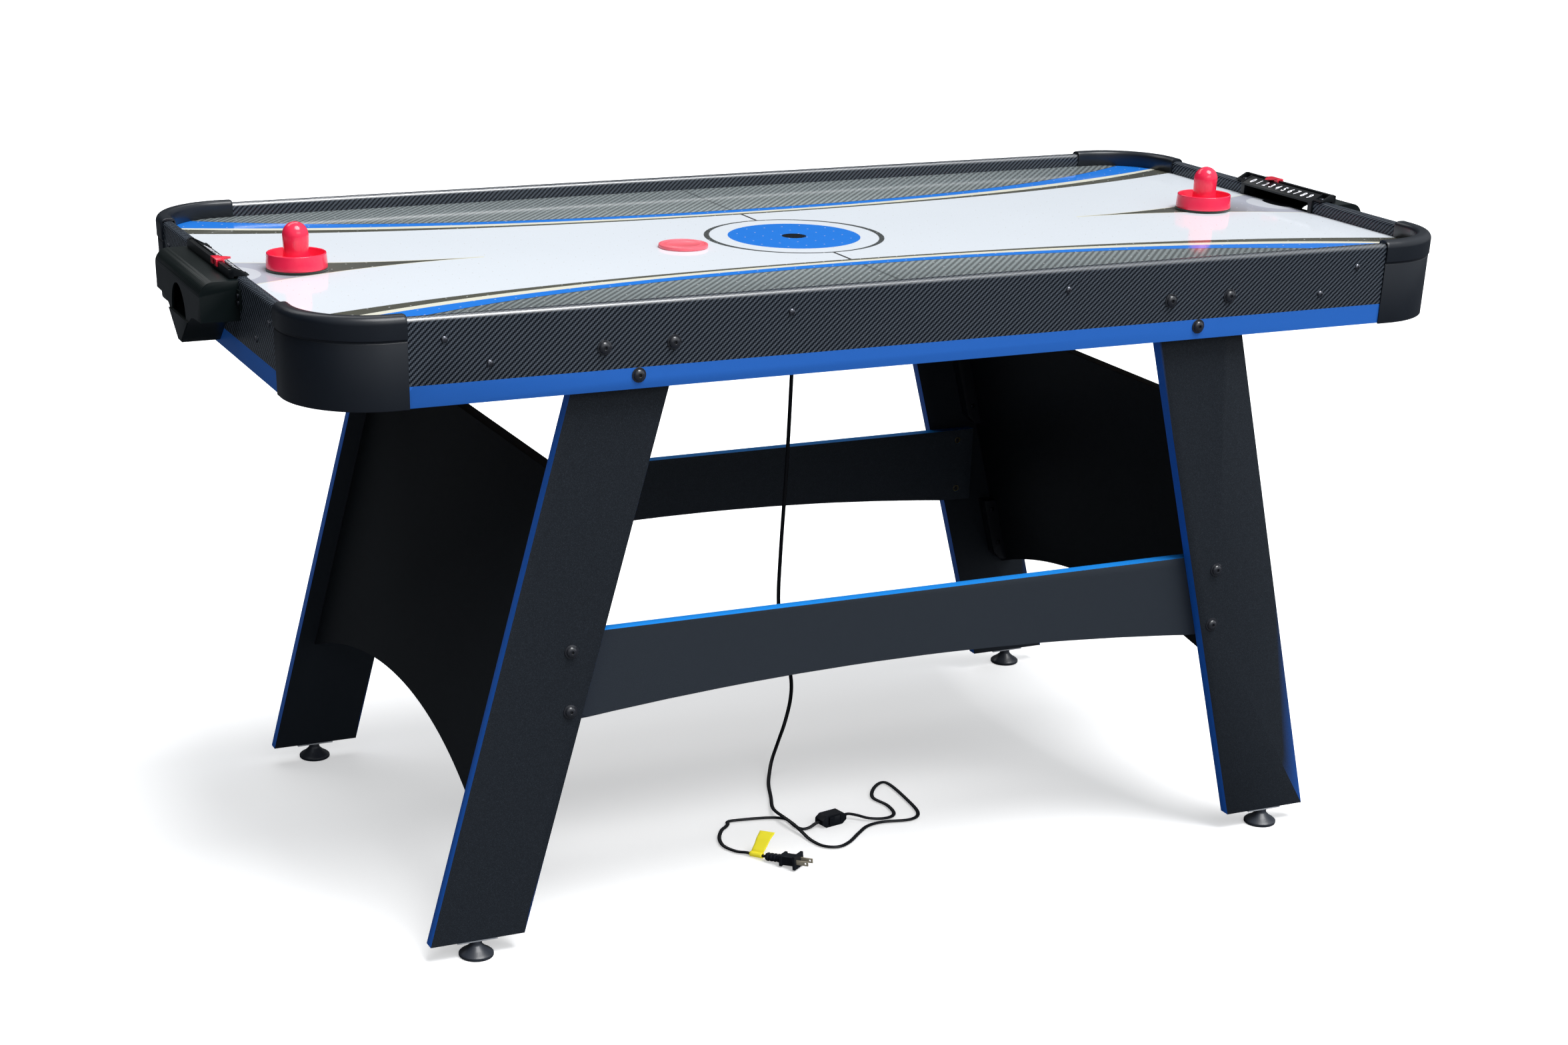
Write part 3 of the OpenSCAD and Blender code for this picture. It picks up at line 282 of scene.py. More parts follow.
def playfield_mat():
    """Printed and lacquered playing surface, drawn from curves in the table's own millimetres."""
    m = Mat("playfield_print", rough=0.12, spec=0.5)
    m.b.inputs["IOR"].default_value = 1.55
    ax, ay = m.x.abs(), m.y.abs()
    a2 = ax * ax
    a4 = a2 * a2
    def curve(c0, c2, c4): return a2 * c2 + a4 * c4 + c0
    y0 = curve(163, 1.352e-4, 1.03e-10)
    y1 = curve(170.5, 1.588e-4, 1.49e-10)
    y2 = curve(180.5, 1.99e-4, 0.72e-10)
    y3 = curve(199, 1.825e-4, 2.57e-10)
    w = 0.8
    white = m.scale_col(srgb(242, 248, 255), m.noise(0.004, 2, 0.5) * 0.05 + 0.975)
    olive = srgb(98, 98, 88)
    olive_s = m.scale_col(olive, (ax * (-1 / 747.0) + 1.0) * 0.25 + 0.85)
    cream = srgb(246, 244, 226)
    blue = m.scale_col(srgb(40, 134, 240), m.noise(0.05, 2, 0.5) * 0.08 + 0.96)
    # woven ground outside the bands
    warp, shade = twill(m, m.x, m.y, 2.5, 2.9)
    # weave brightness: lighter toward the centre and next to the bands, and the far half (y > 0) lifted by a further
    # 0.16 as a painted reflection
    lift = (ax * ax * (-1.0 / (520.0 * 520.0)) + 1.0).clamp()
    fade = ((ay - y3) * (1.0 / 110.0)).clamp()
    g = m.mix(warp, m.scale_col(srgb(96, 102, 103), shade * 0.25 + 0.82), m.scale_col(srgb(142, 150, 151), shade * 0.25 + 0.82))
    bright = lift * fade.rsub(1.0) * 0.55 + m.y.gt(0.0, 60.0) * 0.16 + 0.94
    weave = m.scale_col(g, bright)
    col = m.mix(ay.gt(y0, w), white, olive_s)
    col = m.mix(ay.gt(y1, w), col, cream)
    col = m.mix(ay.gt(y2, w), col, blue)
    col = m.mix(ay.gt(y3 - 1.4, w), col, srgb(22, 26, 34))
    col = m.mix(ay.gt(y3, w), col, weave)
    # centre circle
    r = (m.x * m.x + m.y * m.y).sqrt()
    e = ((m.x * (1 / 109.5)).pow(2.0) + (m.y * (1 / 112.4)).pow(2.0)).sqrt()
    ink = srgb(84, 88, 88)
    col = m.mix(r.lt(117, w) * e.gt(1.0, 0.008), col, ink)
    col = m.mix(r.lt(86, w), col, blue)
    col = m.mix(r.lt(16, w), col, srgb(20, 26, 34))
    line = m.x.abs().lt(2.0, 0.5)
    col = m.mix(line * ay.gt(117, w) * ay.lt(y0 + 1.0, w), col, srgb(70, 72, 74))
    col = m.mix(line * ay.gt(y3, w) * 0.45, col, srgb(40, 42, 46))
    # goal spikes with a pale outline, and the creases at the goals
    t = (ax - 430.0).max(0.0)
    hw = t * 0.0105 + t * t * 0.000711
    col = m.mix(ay.lt(hw + 2.6, w) * ax.gt(424, w), col, cream)
    sh = ((t - 195.0) * (1 / 85.0)).clamp()
    tip = (t * (1 / 190.0)).clamp()
    spike = m.scale_col(m.mix(sh, m.mix(tip, srgb(66, 66, 58), srgb(104, 105, 98)), srgb(196, 199, 212)), m.noise(0.02, 2, 0.5) * 0.12 + 0.94)
    col = m.mix(ay.lt(hw, w) * ax.gt(430, w), col, spike)
    dx = ax.rsub(747.0)
    crease = ((dx * (1 / 39.0)).pow(2.0) + (ay * (1 / 46.0)).pow(2.0)).sqrt()
    col = m.mix(crease.lt(1.0, 0.02), col, srgb(226, 230, 238))
    dot = ((dx * (1 / 11.0)).pow(2.0) + (ay * (1 / 30.0)).pow(2.0)).sqrt()
    col = m.mix(dot.lt(1.0, 0.04), col, srgb(30, 32, 34))
    # bright burr round each air hole
    fx, fy = (m.x * (1 / 25.4)).fract() - 0.5, (m.y * (1 / 25.4)).fract() - 0.5
    hr = (fx * fx + fy * fy).sqrt() * 25.4
    burr = hr.lt(1.05, 0.3)
    col = m.mix(burr * 0.75, col, srgb(244, 246, 250))
    side = m.nz.lt(0.4, 0.2)
    col = m.mix(side, col, srgb(196, 190, 176))
    m.color(col)
    m.roughness(m.noise(0.05, 3, 0.6) * 0.04 + (side * 0.4 + 0.07))
    m.bump(m.noise(0.03, 2, 0.5), 0.05, 0.15)
    return m.m


def felt_mat():
    m = Mat("felt_dark", rough=0.95, spec=0.1)
    n = m.noise(3.0, 4, 0.8)
    m.color(m.scale_col(srgb(34, 48, 40), n * 0.9 + 0.55))
    m.put("Sheen Weight", 0.4)
    m.bump(n, 0.4, 0.9)
    return m.m


def paper_mat():
    m = Mat("tag_yellow", rough=0.6, spec=0.3)
    n = m.noise(0.8, 3, 0.6)
    m.color(m.scale_col(srgb(255, 242, 60), n * 0.10 + 0.94))
    m.bump(n, 0.05, 0.5)
    # the emission is a painted glow that makes the paper read brighter; the tag is no lamp
    m.b.inputs["Emission Color"].default_value = (1.0, 0.86, 0.04, 1)
    m.b.inputs["Emission Strength"].default_value = 0.30
    return m.m


def slanted_edge(m):
    """Banded edges are the faces of a leg that look along X."""
    return m.nx.abs().gt(0.25, 0.1)
def top_edge(m):
    return m.nz.gt(0.6, 0.1)

M = {
    "carbon_x": carbon_board("carbon_laminate_side", "x"),
    "carbon_y": carbon_board("carbon_laminate_end", "y"),
    "leg": pvc("laminate_leg", blue_edge=slanted_edge),
    # same laminate as the legs: the stretcher base is lifted as painted light, the end-panel base lowered as painted
    # shade
    "stretcher": pvc("laminate_stretcher_painted_light", blue_edge=top_edge, base=(46, 52, 60)),
    "panel": pvc("laminate_panel_painted_shade", base=(22, 26, 30)),
    "cap": moulded("corner_plastic", (18, 24, 33), rough=0.32, grain=2.6, depth=0.05, spec=0.5),
    "black": moulded("moulded_black", (27, 30, 36), rough=0.34, grain=2.2, depth=0.05, spec=0.4),
    "goal": moulded("goal_box_plastic", (9, 19, 20), rough=0.34, grain=2.6, depth=0.05, spec=0.3),
    "scorer": moulded("scorer_plastic", (10, 14, 18), rough=0.32, grain=2.6, depth=0.04, spec=0.3),
    "foot": moulded("foot_plastic", (44, 48, 56), rough=0.34, grain=1.8, depth=0.05, spec=0.6),
    "cord": moulded("cord_pvc", (16, 18, 24), rough=0.3, grain=1.2, depth=0.05, spec=0.35),
    "red": moulded("pusher_plastic", (250, 42, 80), rough=0.18, grain=1.0, depth=0.01, spec=0.5, coat=0.25, vary=0.05),
    "puck": moulded("puck_plastic", (250, 108, 122), rough=0.28, grain=1.4, depth=0.02, spec=0.4, coat=0.1, vary=0.06),
    "slider": moulded("pointer_plastic", (238, 42, 68), rough=0.24, grain=1.2, depth=0.01, coat=0.2, vary=0.06),
    "felt": felt_mat(),
    "tag": paper_mat(),
    "zinc": metal("zinc_plate", (224, 227, 232), rough=0.34, brushed=(0.2, 1, 1), metallic=0.5),
    "bolt": moulded("bolt_black", (40, 42, 48), rough=0.20, grain=1.2, depth=0.01, spec=0.9, vary=0.08),
    "screw_d": metal("screw_black", (64, 66, 72), rough=0.3),
    "screw": metal("screw_dark", (122, 124, 132), rough=0.26),
    "nut": metal("insert_zinc", (190, 176, 130), rough=0.35),
    "blade": metal("plug_brass", (226, 214, 188), rough=0.30, brushed=(1, 0.3, 1), metallic=0.55),
    "motor": metal("motor_steel", (180, 182, 186), rough=0.35, brushed=(1, 1, 0.1)),
    "wood": timber("frame_wood", (186, 150, 104)),
    "wood_y": timber("rib_wood", (190, 156, 110), "y"),
    "board": timber("bottom_board", (120, 92, 64)),
    "play": playfield_mat(),
}


def digit_mat():
    m = Mat("digit_paint", rough=0.4, spec=0.5)
    m.color(m.scale_col(srgb(246, 247, 252), m.noise(2.0, 2, 0.5) * 0.08 + 0.95))
    # the emission is a painted glow that makes the painted digits read brighter; they are no lamp
    m.b.inputs["Emission Color"].default_value = (0.9, 0.9, 1.0, 1)
    m.b.inputs["Emission Strength"].default_value = 0.22
    m.bump(m.noise(3.0, 2, 0.5), 0.02, 0.4)
    return m.m


M["digit"] = digit_mat()

# --------------------------------------------------------------- mesh helpers
def link(name, me, mat, body):
    ob = bpy.data.objects.new(name, me)
    scene.collection.objects.link(ob)
    me.materials.clear()
    me.materials.append(mat)
    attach(ob, body)
    return ob


def smooth_by_angle(me, deg=35):
    bm = bmesh.new()
    bm.from_mesh(me)
    for f in bm.faces:
        f.smooth = True
    lim = math.radians(deg)
    for e in bm.edges:
        e.smooth = not (len(e.link_faces) == 2 and e.calc_face_angle(0.0) > lim)
    bm.to_mesh(me)
    bm.free()


def tidy(node, bevel=0.0, seg=2, angle=32, merge=1e-6):
    """A clean copy of a CAD node's mesh: seams welded, flat faces joined, edges softened."""
    src = nodes[node]
    bm = bmesh.new()
    bm.from_mesh(src.data)
    bmesh.ops.remove_doubles(bm, verts=bm.verts, dist=merge)
    bmesh.ops.dissolve_limit(bm, angle_limit=math.radians(0.6), verts=bm.verts, edges=bm.edges,
                             use_dissolve_boundaries=False)
    bmesh.ops.recalc_face_normals(bm, faces=bm.faces)
    if bevel > 0:
        sharp = [e for e in bm.edges if len(e.link_faces) == 2 and e.calc_face_angle(0.0) > math.radians(angle)]
        bmesh.ops.bevel(bm, geom=sharp, offset=bevel, offset_type="OFFSET", segments=seg, profile=0.5,
                        affect="EDGES", clamp_overlap=True, material=-1, miter_outer="ARC", miter_inner="ARC")
    me = bpy.data.meshes.new(node + "_mesh")
    bm.to_mesh(me)
    bm.free()
    smooth_by_angle(me, 30 if bevel else 32)
    return me


def refine(node, mat, body="table", bevel=0.0, seg=2, angle=32, weight=True):
    ob = link(node + ".look", tidy(node, bevel, seg, angle), mat, body)
    if weight:
        wn = ob.modifiers.new("weighted", "WEIGHTED_NORMAL")
        wn.keep_sharp = True
        wn.weight = 60
    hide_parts(node)
    return ob


def arc(cx, cy, r, a0, a1, n):
    return [(cx + r * math.cos(math.radians(a0 + (a1 - a0) * i / n)), cy + r * math.sin(math.radians(a0 + (a1 - a0) * i / n)))
            for i in range(n + 1)]


def lathe(prof, n=96, closed=True):
    """Profile of (radius, height) in mm about Z."""
    bm = bmesh.new()
    rings = []
    for (r, z) in prof:
        if r < 1e-6:
            rings.append([bm.verts.new((0, 0, z / 1000))])
        else:
            rings.append([bm.verts.new((r / 1000 * math.cos(2 * math.pi * k / n), r / 1000 * math.sin(2 * math.pi * k / n), z / 1000))
                          for k in range(n)])
    pairs = list(zip(rings, rings[1:] + ([rings[0]] if closed else [])))
    for a, b in pairs:
        if len(a) == 1 and len(b) == 1:
            continue
        for k in range(n):
            k2 = (k + 1) % n
            if len(a) == 1:
                bm.faces.new((a[0], b[k2], b[k]))
            elif len(b) == 1:
                bm.faces.new((a[k], a[k2], b[0]))
            else:
                bm.faces.new((a[k], a[k2], b[k2], b[k]))
    bmesh.ops.recalc_face_normals(bm, faces=bm.faces)
    me = bpy.data.meshes.new("lathe")
    bm.to_mesh(me)
    bm.free()
    return me


# ------------------------------------------------------------------ the table
for n in ("side_rail_front", "side_rail_back"):
    refine(n, M["carbon_x"], bevel=0.0004)
for n in ("end_rail_left", "end_rail_right"):
    refine(n, M["carbon_y"], bevel=0.0004)
for c in ("fl", "fr", "bl", "br"):
    refine("leg_" + c, M["leg"], bevel=0.0007)
    refine("foot_" + c, M["foot"], body={"fl": "foot_front_left", "fr": "foot_front_right", "bl": "foot_back_left", "br": "foot_back_right"}[c], bevel=0.0004)
refine("foot_plates", M["zinc"], bevel=0.0003)
for n in ("end_panel_left", "end_panel_right"):
    refine(n, M["panel"], bevel=0.0007)
for n in ("stretcher_front", "stretcher_back"):
    refine(n, M["stretcher"], bevel=0.0007)
refine("panel_cleats", M["black"], bevel=0.0006)
for n in ("apron_bolts", "stretcher_bolts"):
    refine(n, M["bolt"], bevel=0.0002, seg=1)
refine("bolt_washers", M["bolt"], bevel=0.0003)
refine("insert_nuts", M["nut"], bevel=0.0002, seg=1)
for n in ("rail_screws", "goal_screws", "cap_screws", "panel_screws"):
    refine(n, M["screw"] if n == "rail_screws" else M["screw_d"], weight=False)
for n in ("goal_box_left", "goal_box_right"):
    refine(n, M["goal"], bevel=0.0007)
for n in ("scorer_left", "scorer_right"):
    refine(n, M["scorer"], bevel=0.0004)
refine("score_slider_left", M["slider"], "score_pointer_left", bevel=0.0004)
refine("score_slider_right", M["slider"], "score_pointer_right", bevel=0.0004)
refine("plenum_frame", M["wood"], bevel=0.0006)
refine("plenum_ribs", M["wood_y"], bevel=0.0006)
refine("packing_strips", M["wood"], bevel=0.0006)
refine("bottom_panel", M["board"], bevel=0.0004)
refine("blower_housing", M["black"], bevel=0.0006)
refine("blower_grille", M["black"], bevel=0.0004)
refine("motor_can", M["motor"], bevel=0.0006)
refine("impeller", M["black"], "blower_rotor", bevel=0.0002, seg=1)
refine("impeller_shaft", M["motor"], "blower_rotor", bevel=0.0003)
refine("blower_screws", M["screw"], weight=False)
refine("cord_bushing", M["cord"], bevel=0.0008)
refine("switch_housing", M["black"], bevel=0.0009, seg=3)
refine("switch_rocker", M["black"], "cord_switch_rocker", bevel=0.0004)
refine("plug_body", M["black"], bevel=0.0007)
refine("plug_blades", M["blade"], bevel=0.0003)

# corner caps: one moulded shell swept round the corner, with sleeve ends and fixing webs
def cap(name, sx, sy):
    lo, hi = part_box("side_rail_back")
    zt0, z0 = hi.z * 1000, lo.z * 1000
    hl, hw, R, bt = 762.0, 381.0, 100.0, 15.0
    kx, ky = hl - R, hw - R
    zt = zt0 + 3.5
    ro, ri = R + 2, R - bt - 2
    zp = zt0 - 17
    # section as (distance from the arc's centre, height), outer skin first
    sec = [(ro - 2.0, z0 - 1), (ro - 0.5, z0 - 1), (ro, z0 - 0.5), (ro, zt0 - 25.4), (ro - 0.2, zt0 - 25.0), (ro - 0.8, zt0 - 24.5), (ro - 0.9, zt0 - 23.4),
           (ro - 0.7, zt0 - 22.8), (ro + 0.5, zt0 - 22.4), (ro + 1, zt0 - 21.8)]
    sec += arc(ro - 7.5, zt - 8.5, 8.5, 0, 90, 10) + arc(ri + 5.5, zt - 5.5, 5.5, 90, 180, 8)
    sec += [(ri, zp + 0.9), (ri + 0.35, zp + 0.4), (ri + 0.9, zp + 0.25), (ri + 1.85, zp + 0.25), (ri + 1.85, zt0 + 0.15), (R + 0.15, zt0 + 0.15), (R + 0.15, z0 - 1)]
    arm = 116.0
    path = []
    for t in (0, 0.35, 0.9, 1.6, 3, 16):
        path.append((hl - arm + t, ky, 0.0, 1.0, min(1.0, 0.55 + t * 0.28)))
    n = 56
    for k in range(1, n):
        a = math.radians(90 - 90 * k / n)
        path.append((kx, ky, math.cos(a), math.sin(a), 1.0))
    for t in (16, 3, 1.6, 0.9, 0.35, 0):
        path.append((kx, hw - arm + t, 1.0, 0.0, min(1.0, 0.55 + t * 0.28)))
    bm = bmesh.new()
    rings = []
    mid = (ro + ri) / 2
    zc = (zt + z0) / 2
    for (px, py, dx, dy, sh) in path:
        ring = []
        for i2, (r, z) in enumerate(sec):
            # the mouth of the sleeve is slightly rounded
            inset = (1.0 - sh) * 0.9
            if i2 < len(sec) - 6:
                r2 = r + (-inset if r > mid else inset)
                z2 = z - inset * (1 if z > zt - 6 else 0)
            else:
                r2, z2 = r, z
            ring.append(bm.verts.new(((px + dx * r2) * sx / 1000, (py + dy * r2) * sy / 1000, z2 / 1000)))
        rings.append(ring)
    m = len(sec)
    for a, b in zip(rings, rings[1:]):
        for k in range(m):
            bm.faces.new((a[k], b[k], b[(k + 1) % m], a[(k + 1) % m]))
    bm.faces.new(rings[0])
    bm.faces.new(list(reversed(rings[-1])))
    def block(x0, y0, z1, x1, y1, z2):
        vs = [bm.verts.new((x * sx / 1000, y * sy / 1000, z / 1000)) for z in (z1, z2) for x, y in ((x0, y0), (x1, y0), (x1, y1), (x0, y1))]
        for f in ((0, 3, 2, 1), (4, 5, 6, 7), (0, 1, 5, 4), (1, 2, 6, 5), (2, 3, 7, 6), (3, 0, 4, 7)):
            bm.faces.new([vs[q] for q in f])
    ly, lx = hw - bt, hl - bt
    block(kx - 1.7, ly + 0.2, z0, kx + 0.6, hw + 0.3, zt0 + 0.3)
    block(kx - 26, ly - 3.2, 700, kx + 0.6, ly - 0.2, 755)
    block(kx - 1.7, ly - 1.2, 700, kx + 0.6, ly + 0.3, 755)
    block(lx + 0.2, ky - 1.7, z0, hl + 0.3, ky + 0.6, zt0 + 0.3)
    block(lx - 3.2, ky - 26, 700, lx - 0.2, ky + 0.6, 755)
    block(lx - 1.2, ky - 1.7, 700, lx + 0.3, ky + 0.6, 755)
    bmesh.ops.recalc_face_normals(bm, faces=bm.faces)
    me = bpy.data.meshes.new(name)
    bm.to_mesh(me)
    bm.free()
    smooth_by_angle(me, 38)
    ob = link("corner_cap_%s.shell" % name, me, M["cap"], "table")
    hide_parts("corner_cap_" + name)

for c, sx, sy in (("fl", -1, -1), ("fr", 1, -1), ("bl", -1, 1), ("br", 1, 1)):
    cap(c, sx, sy)

# playfield: a plate with a real grid of air holes
def playfield():
    lo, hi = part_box("playfield")
    x1, y1 = hi.x * 1000, hi.y * 1000
    r = 84.8
    cu = bpy.data.curves.new("playfield_outline", "CURVE")
    cu.dimensions = "2D"
    cu.fill_mode = "BOTH"
    cx, cy = x1 - r, y1 - r
    out = arc(cx, cy, r, 0, 90, 16) + arc(-cx, cy, r, 90, 180, 16) + arc(-cx, -cy, r, 180, 270, 16) + arc(cx, -cy, r, 270, 360, 16)
    def spline(pts):
        s = cu.splines.new("POLY")
        s.points.add(len(pts) - 1)
        for p, q in zip(s.points, pts):
            p.co = (q[0] / 1000, q[1] / 1000, 0, 1)
        s.use_cyclic_u = True
    spline(out)
    pitch = 25.4
    for i in range(-29, 29):
        for j in range(-14, 14):
            hx, hy = (i + 0.5) * pitch, (j + 0.5) * pitch
            ex, ey = max(abs(hx) - cx, 0), max(abs(hy) - cy, 0)
            if abs(hx) > x1 - 12 or abs(hy) > y1 - 12 or math.hypot(ex, ey) > r - 12:
                continue
            spline(arc(hx, hy, 0.55, 360, 60, 5))
    h = (hi.z - lo.z) / 2
    cu.extrude = h
    ob = bpy.data.objects.new("playfield_curve", cu)
    scene.collection.objects.link(ob)
    bpy.context.view_layer.update()
    me = bpy.data.meshes.new_from_object(ob.evaluated_get(bpy.context.evaluated_depsgraph_get()))
    bpy.data.objects.remove(ob)
    me.transform(Matrix.Translation((0, 0, (hi.z + lo.z) / 2)))
    bm = bmesh.new()
    bm.from_mesh(me)
    bmesh.ops.remove_doubles(bm, verts=bm.verts, dist=1e-6)
    bmesh.ops.recalc_face_normals(bm, faces=bm.faces)
    bm.to_mesh(me)
    bm.free()
    smooth_by_angle(me, 35)
    ob = link("playfield.board", me, M["play"], "table")
    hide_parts("playfield")

playfield()

# pushers and puck: turned shapes
def pusher(side):
    node = "pusher_" + side
    lo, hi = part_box(node)
    c = (lo + hi) / 2
    R = (hi.x - lo.x) * 500
    H = (hi.z - lo.z) * 1000
    k = H - 16
    prof = [(R - 2.6, 0), (R - 0.4, 0), (R, 0.5), (R, 2.4), (R - 0.5, 8), (R - 1.1, 16.4)]
    prof += [(R - 2.3 + 1.2 * math.cos(math.radians(a)), 16.6 + 1.2 * math.sin(math.radians(a))) for a in range(0, 181, 22)]
    prof += [(R - 4.1, 9), (R - 4.8, 7.4), (R - 6.6, 6.5), (26, 5.8), (20, 5.8), (17.9, 6.4), (16.9, 8.2), (16.5, 12), (15.6, 18), (15.4, 24), (15.7, 31)]
    prof += [(16 * math.cos(math.radians(a)), k + 16 * math.sin(math.radians(a))) for a in range(0, 90, 8)]
    prof += [(0, H), (0, H - 2.6)]
    prof += [(13.4 * math.sin(math.radians(a)), k + 13.4 * math.cos(math.radians(a))) for a in range(10, 91, 10)]
    prof += [(13.2, 20), (14.2, 6), (15.2, 3.4), (R - 5, 3.8), (R - 3, 3.2)]
    me = lathe(prof, 96)
    me.transform(Matrix.Translation((c.x, c.y, lo.z)))
    smooth_by_angle(me, 50)
    ob = link("pusher_%s.turned" % side, me, M["red"], "pusher_" + side)
    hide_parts(node)
    # felt ring, slightly furred and crowned
    node = "pusher_%s_felt" % side
    lo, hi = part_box(node)
    c = (lo + hi) / 2
    R = (hi.x - lo.x) * 500
    prof = [(12, 0), (R - 0.8, 0), (R - 0.2, 0.4), (R + 0.1, 1.2), (R + 0.1, 2.0), (R - 0.2, 2.7), (R - 0.9, 3.0), (12, 3.0)]
    me = lathe(prof, 120)
    me.transform(Matrix.Translation((c.x, c.y, lo.z)))
    smooth_by_angle(me, 50)
    ob = link("pusher_%s.felt_ring" % side, me, M["felt"], "pusher_" + side)
    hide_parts(node)

pusher("left")
pusher("right")

def puck():
    lo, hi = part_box("puck")
    c = (lo + hi) / 2
    R = (hi.x - lo.x) * 500
    T = (hi.z - lo.z) * 1000
    prof = [(0, 0.4), (R - 6, 0.4), (R - 5, 0), (R - 1.3, 0), (R - 0.4, 0.3), (R, 1.0), (R, T - 1.0), (R - 0.4, T - 0.3), (R - 1.3, T),
            (R - 3.4, T), (R - 4.0, T - 0.2), (R - 4.6, T - 0.75), (R - 9, T - 0.8), (R - 9.6, T - 0.45), (R - 11, T - 0.45), (R - 11.6, T - 0.8), (0, T - 0.8)]
    me = lathe(prof, 120)
    me.transform(Matrix.Translation((c.x, c.y, lo.z)))
    smooth_by_angle(me, 40)
    ob = link("puck.turned", me, M["puck"], "puck")
    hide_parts("puck")

puck()

# power cord: twin-conductor flat flex swept along the lie of the cord
ZF = 726.0
CA = [(36, 68, ZF - 43), (40, 75, ZF - 43), (44, 83, ZF - 44), (46, 87, ZF - 54), (46, 87, 640), (45, 86, 568),
  (42, 86, 440), (37, 86, 320), (36, 85, 241), (47, 85, 180), (59, 85, 133), (60, 85, 100), (52, 84, 65), (39, 79, 36),
  (24, 66, 16), (8, 40, 6), (-8, 8, 3.5), (-24, -34, 3), (-38, -68, 4.5), (-46, -96, 9), (-46, -122, 10.5), (-43, -148, 9.5),
  (-40, -170, 5.5), (-38, -192, 3), (-31, -217, 3), (-13, -227, 3), (8, -218, 3), (34, -195, 3), (57, -177, 3), (83, -172, 3),
  (123, -178, 3), (144, -160, 3), (152, -111, 3), (155, -54, 3), (147, -42, 3), (126, -59, 3), (110, -88, 3), (116, -119, 3),
  (113, -146, 3), (103, -159, 3), (86, -162, 3.5), (68, -157, 5), (55, -147, 7.5), (45, -140.5, 8.5), (35, -141.7, 8.5)]
CB = [(-4, -150, 8.5), (-12, -152.3, 7), (-22, -155, 4), (-32, -154, 3), (-37, -143, 3), (-37, -126, 3), (-39, -113, 3),
  (-52, -103, 3), (-74, -97, 3), (-100, -93, 3), (-113, -92, 3), (-119, -95, 3), (-121, -101, 3), (-127, -108, 3), (-138, -118, 3),
  (-152, -142, 3), (-157, -168, 3), (-149, -190, 3), (-139, -200, 3.7), (-134.6, -206.8, 4.2), (-129.8, -216, 5.3), (-125, -225.2, 6.5),
  (-122, -230, 7.1), (-117.3, -236.4, 7.9)]


def catmull(p, m):
    p = [Vector(q) for q in p]
    out = []
    g = lambda i: p[max(0, min(len(p) - 1, i))]
    for i in range(len(p) - 1):
        a, b, c, d = g(i - 1), g(i), g(i + 1), g(i + 2)
        for j in range(m):
            t = j / m
            out.append(0.5 * ((2 * b) + (c - a) * t + (2 * a - 5 * b + 4 * c - d) * t * t + (3 * b - a - 3 * c + d) * t ** 3))
    out.append(p[-1])
    return out


def flex(name, pts, flat_from=0):
    """Figure-eight section; on the floor the pair lies flat."""
    path = catmull(pts, 6)
    n = len(path)
    prof = []
    rw, off = 1.45, 1.25
    for k in range(9):
        a = math.radians(-70 + 140 * k / 8)
        prof.append((off + rw * math.cos(a), rw * math.sin(a)))
    for k in range(9):
        a = math.radians(110 + 140 * k / 8)
        prof.append((-off + rw * math.cos(a), rw * math.sin(a)))
    bm = bmesh.new()
    rings = []
    prev = None
    for i in range(n):
        t = (path[min(i + 1, n - 1)] - path[max(i - 1, 0)]).normalized()
        s = t.cross(Vector((0, 0, 1)))
        if s.length < 0.35:
            s = prev if prev is not None else Vector((1, 0, 0))
        if prev is not None and s.dot(prev) < 0:
            s = -s
        s = (s - s.dot(t) * t).normalized()
        if prev is not None:
            s = (prev * 0.75 + s * 0.25)
            s = (s - s.dot(t) * t).normalized()
        prev = s
        u = t.cross(s).normalized()
        rings.append([bm.verts.new((path[i] + s * a + u * b) / 1000) for a, b in prof])
    m = len(prof)
    for i in range(n - 1):
        for k in range(m):
            bm.faces.new((rings[i][k], rings[i + 1][k], rings[i + 1][(k + 1) % m], rings[i][(k + 1) % m]))
    bm.faces.new(rings[0])
    bm.faces.new(list(reversed(rings[-1])))
    bmesh.ops.recalc_face_normals(bm, faces=bm.faces)
    me = bpy.data.meshes.new(name)
    bm.to_mesh(me)
    bm.free()
    smooth_by_angle(me, 60)
    return link(name, me, M["cord"], "table")

ca = flex("power_cord.supply", CA)
cb = flex("power_cord.plug_end", CB)
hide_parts("power_cord")

# blank yellow tag folded over the cord, with a flap standing up
def tag():
    bm = bmesh.new()
    rot = Matrix.Rotation(math.radians(-62.4), 4, "Z") @ Matrix.Rotation(math.radians(-6.3), 4, "Y")
    o = Vector((-134.6, -206.8, 4.2))
    wrap = [(3.5 * math.cos(math.radians(a)), 3.5 * math.sin(math.radians(a))) for a in range(60, 421, 20)]
    flap = [(1.3, 3.3), (5.0, 7.0), (10.0, 12.2), (12.4, 16.0), (15.6, 19.6), (19.6, 22.4), (22.2, 25.4)]
    def sheet(pts, wave):
        vs = []
        for j in range(9):
            f = j / 8
            row = []
            for k, (a, b) in enumerate(pts):
                g = k / (len(pts) - 1)
                a2 = a + wave * g * math.sin(3.1 * f + 0.6)
                fan = wave * g / 0.7
                row.append(bm.verts.new((o + rot @ Vector((20.5 * f + 2.5 * fan * f, a2 + 4.5 * fan * f, b + 0.35 * wave * g * math.cos(4 * f)))) / 1000))
            vs.append(row)
        for r0, r1 in zip(vs, vs[1:]):
            for k in range(len(pts) - 1):
                bm.faces.new((r0[k], r0[k + 1], r1[k + 1], r1[k]))
    sheet(wrap, 0.0)
    sheet(flap, 0.7)
    bmesh.ops.recalc_face_normals(bm, faces=bm.faces)
    me = bpy.data.meshes.new("tag")
    bm.to_mesh(me)
    bm.free()
    smooth_by_angle(me, 60)
    ob = link("cord_tag.sheet", me, M["tag"], "table")
    so = ob.modifiers.new("thick", "SOLIDIFY")
    so.thickness = 0.0003
    so.offset = 0
    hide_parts("cord_tag")

tag()

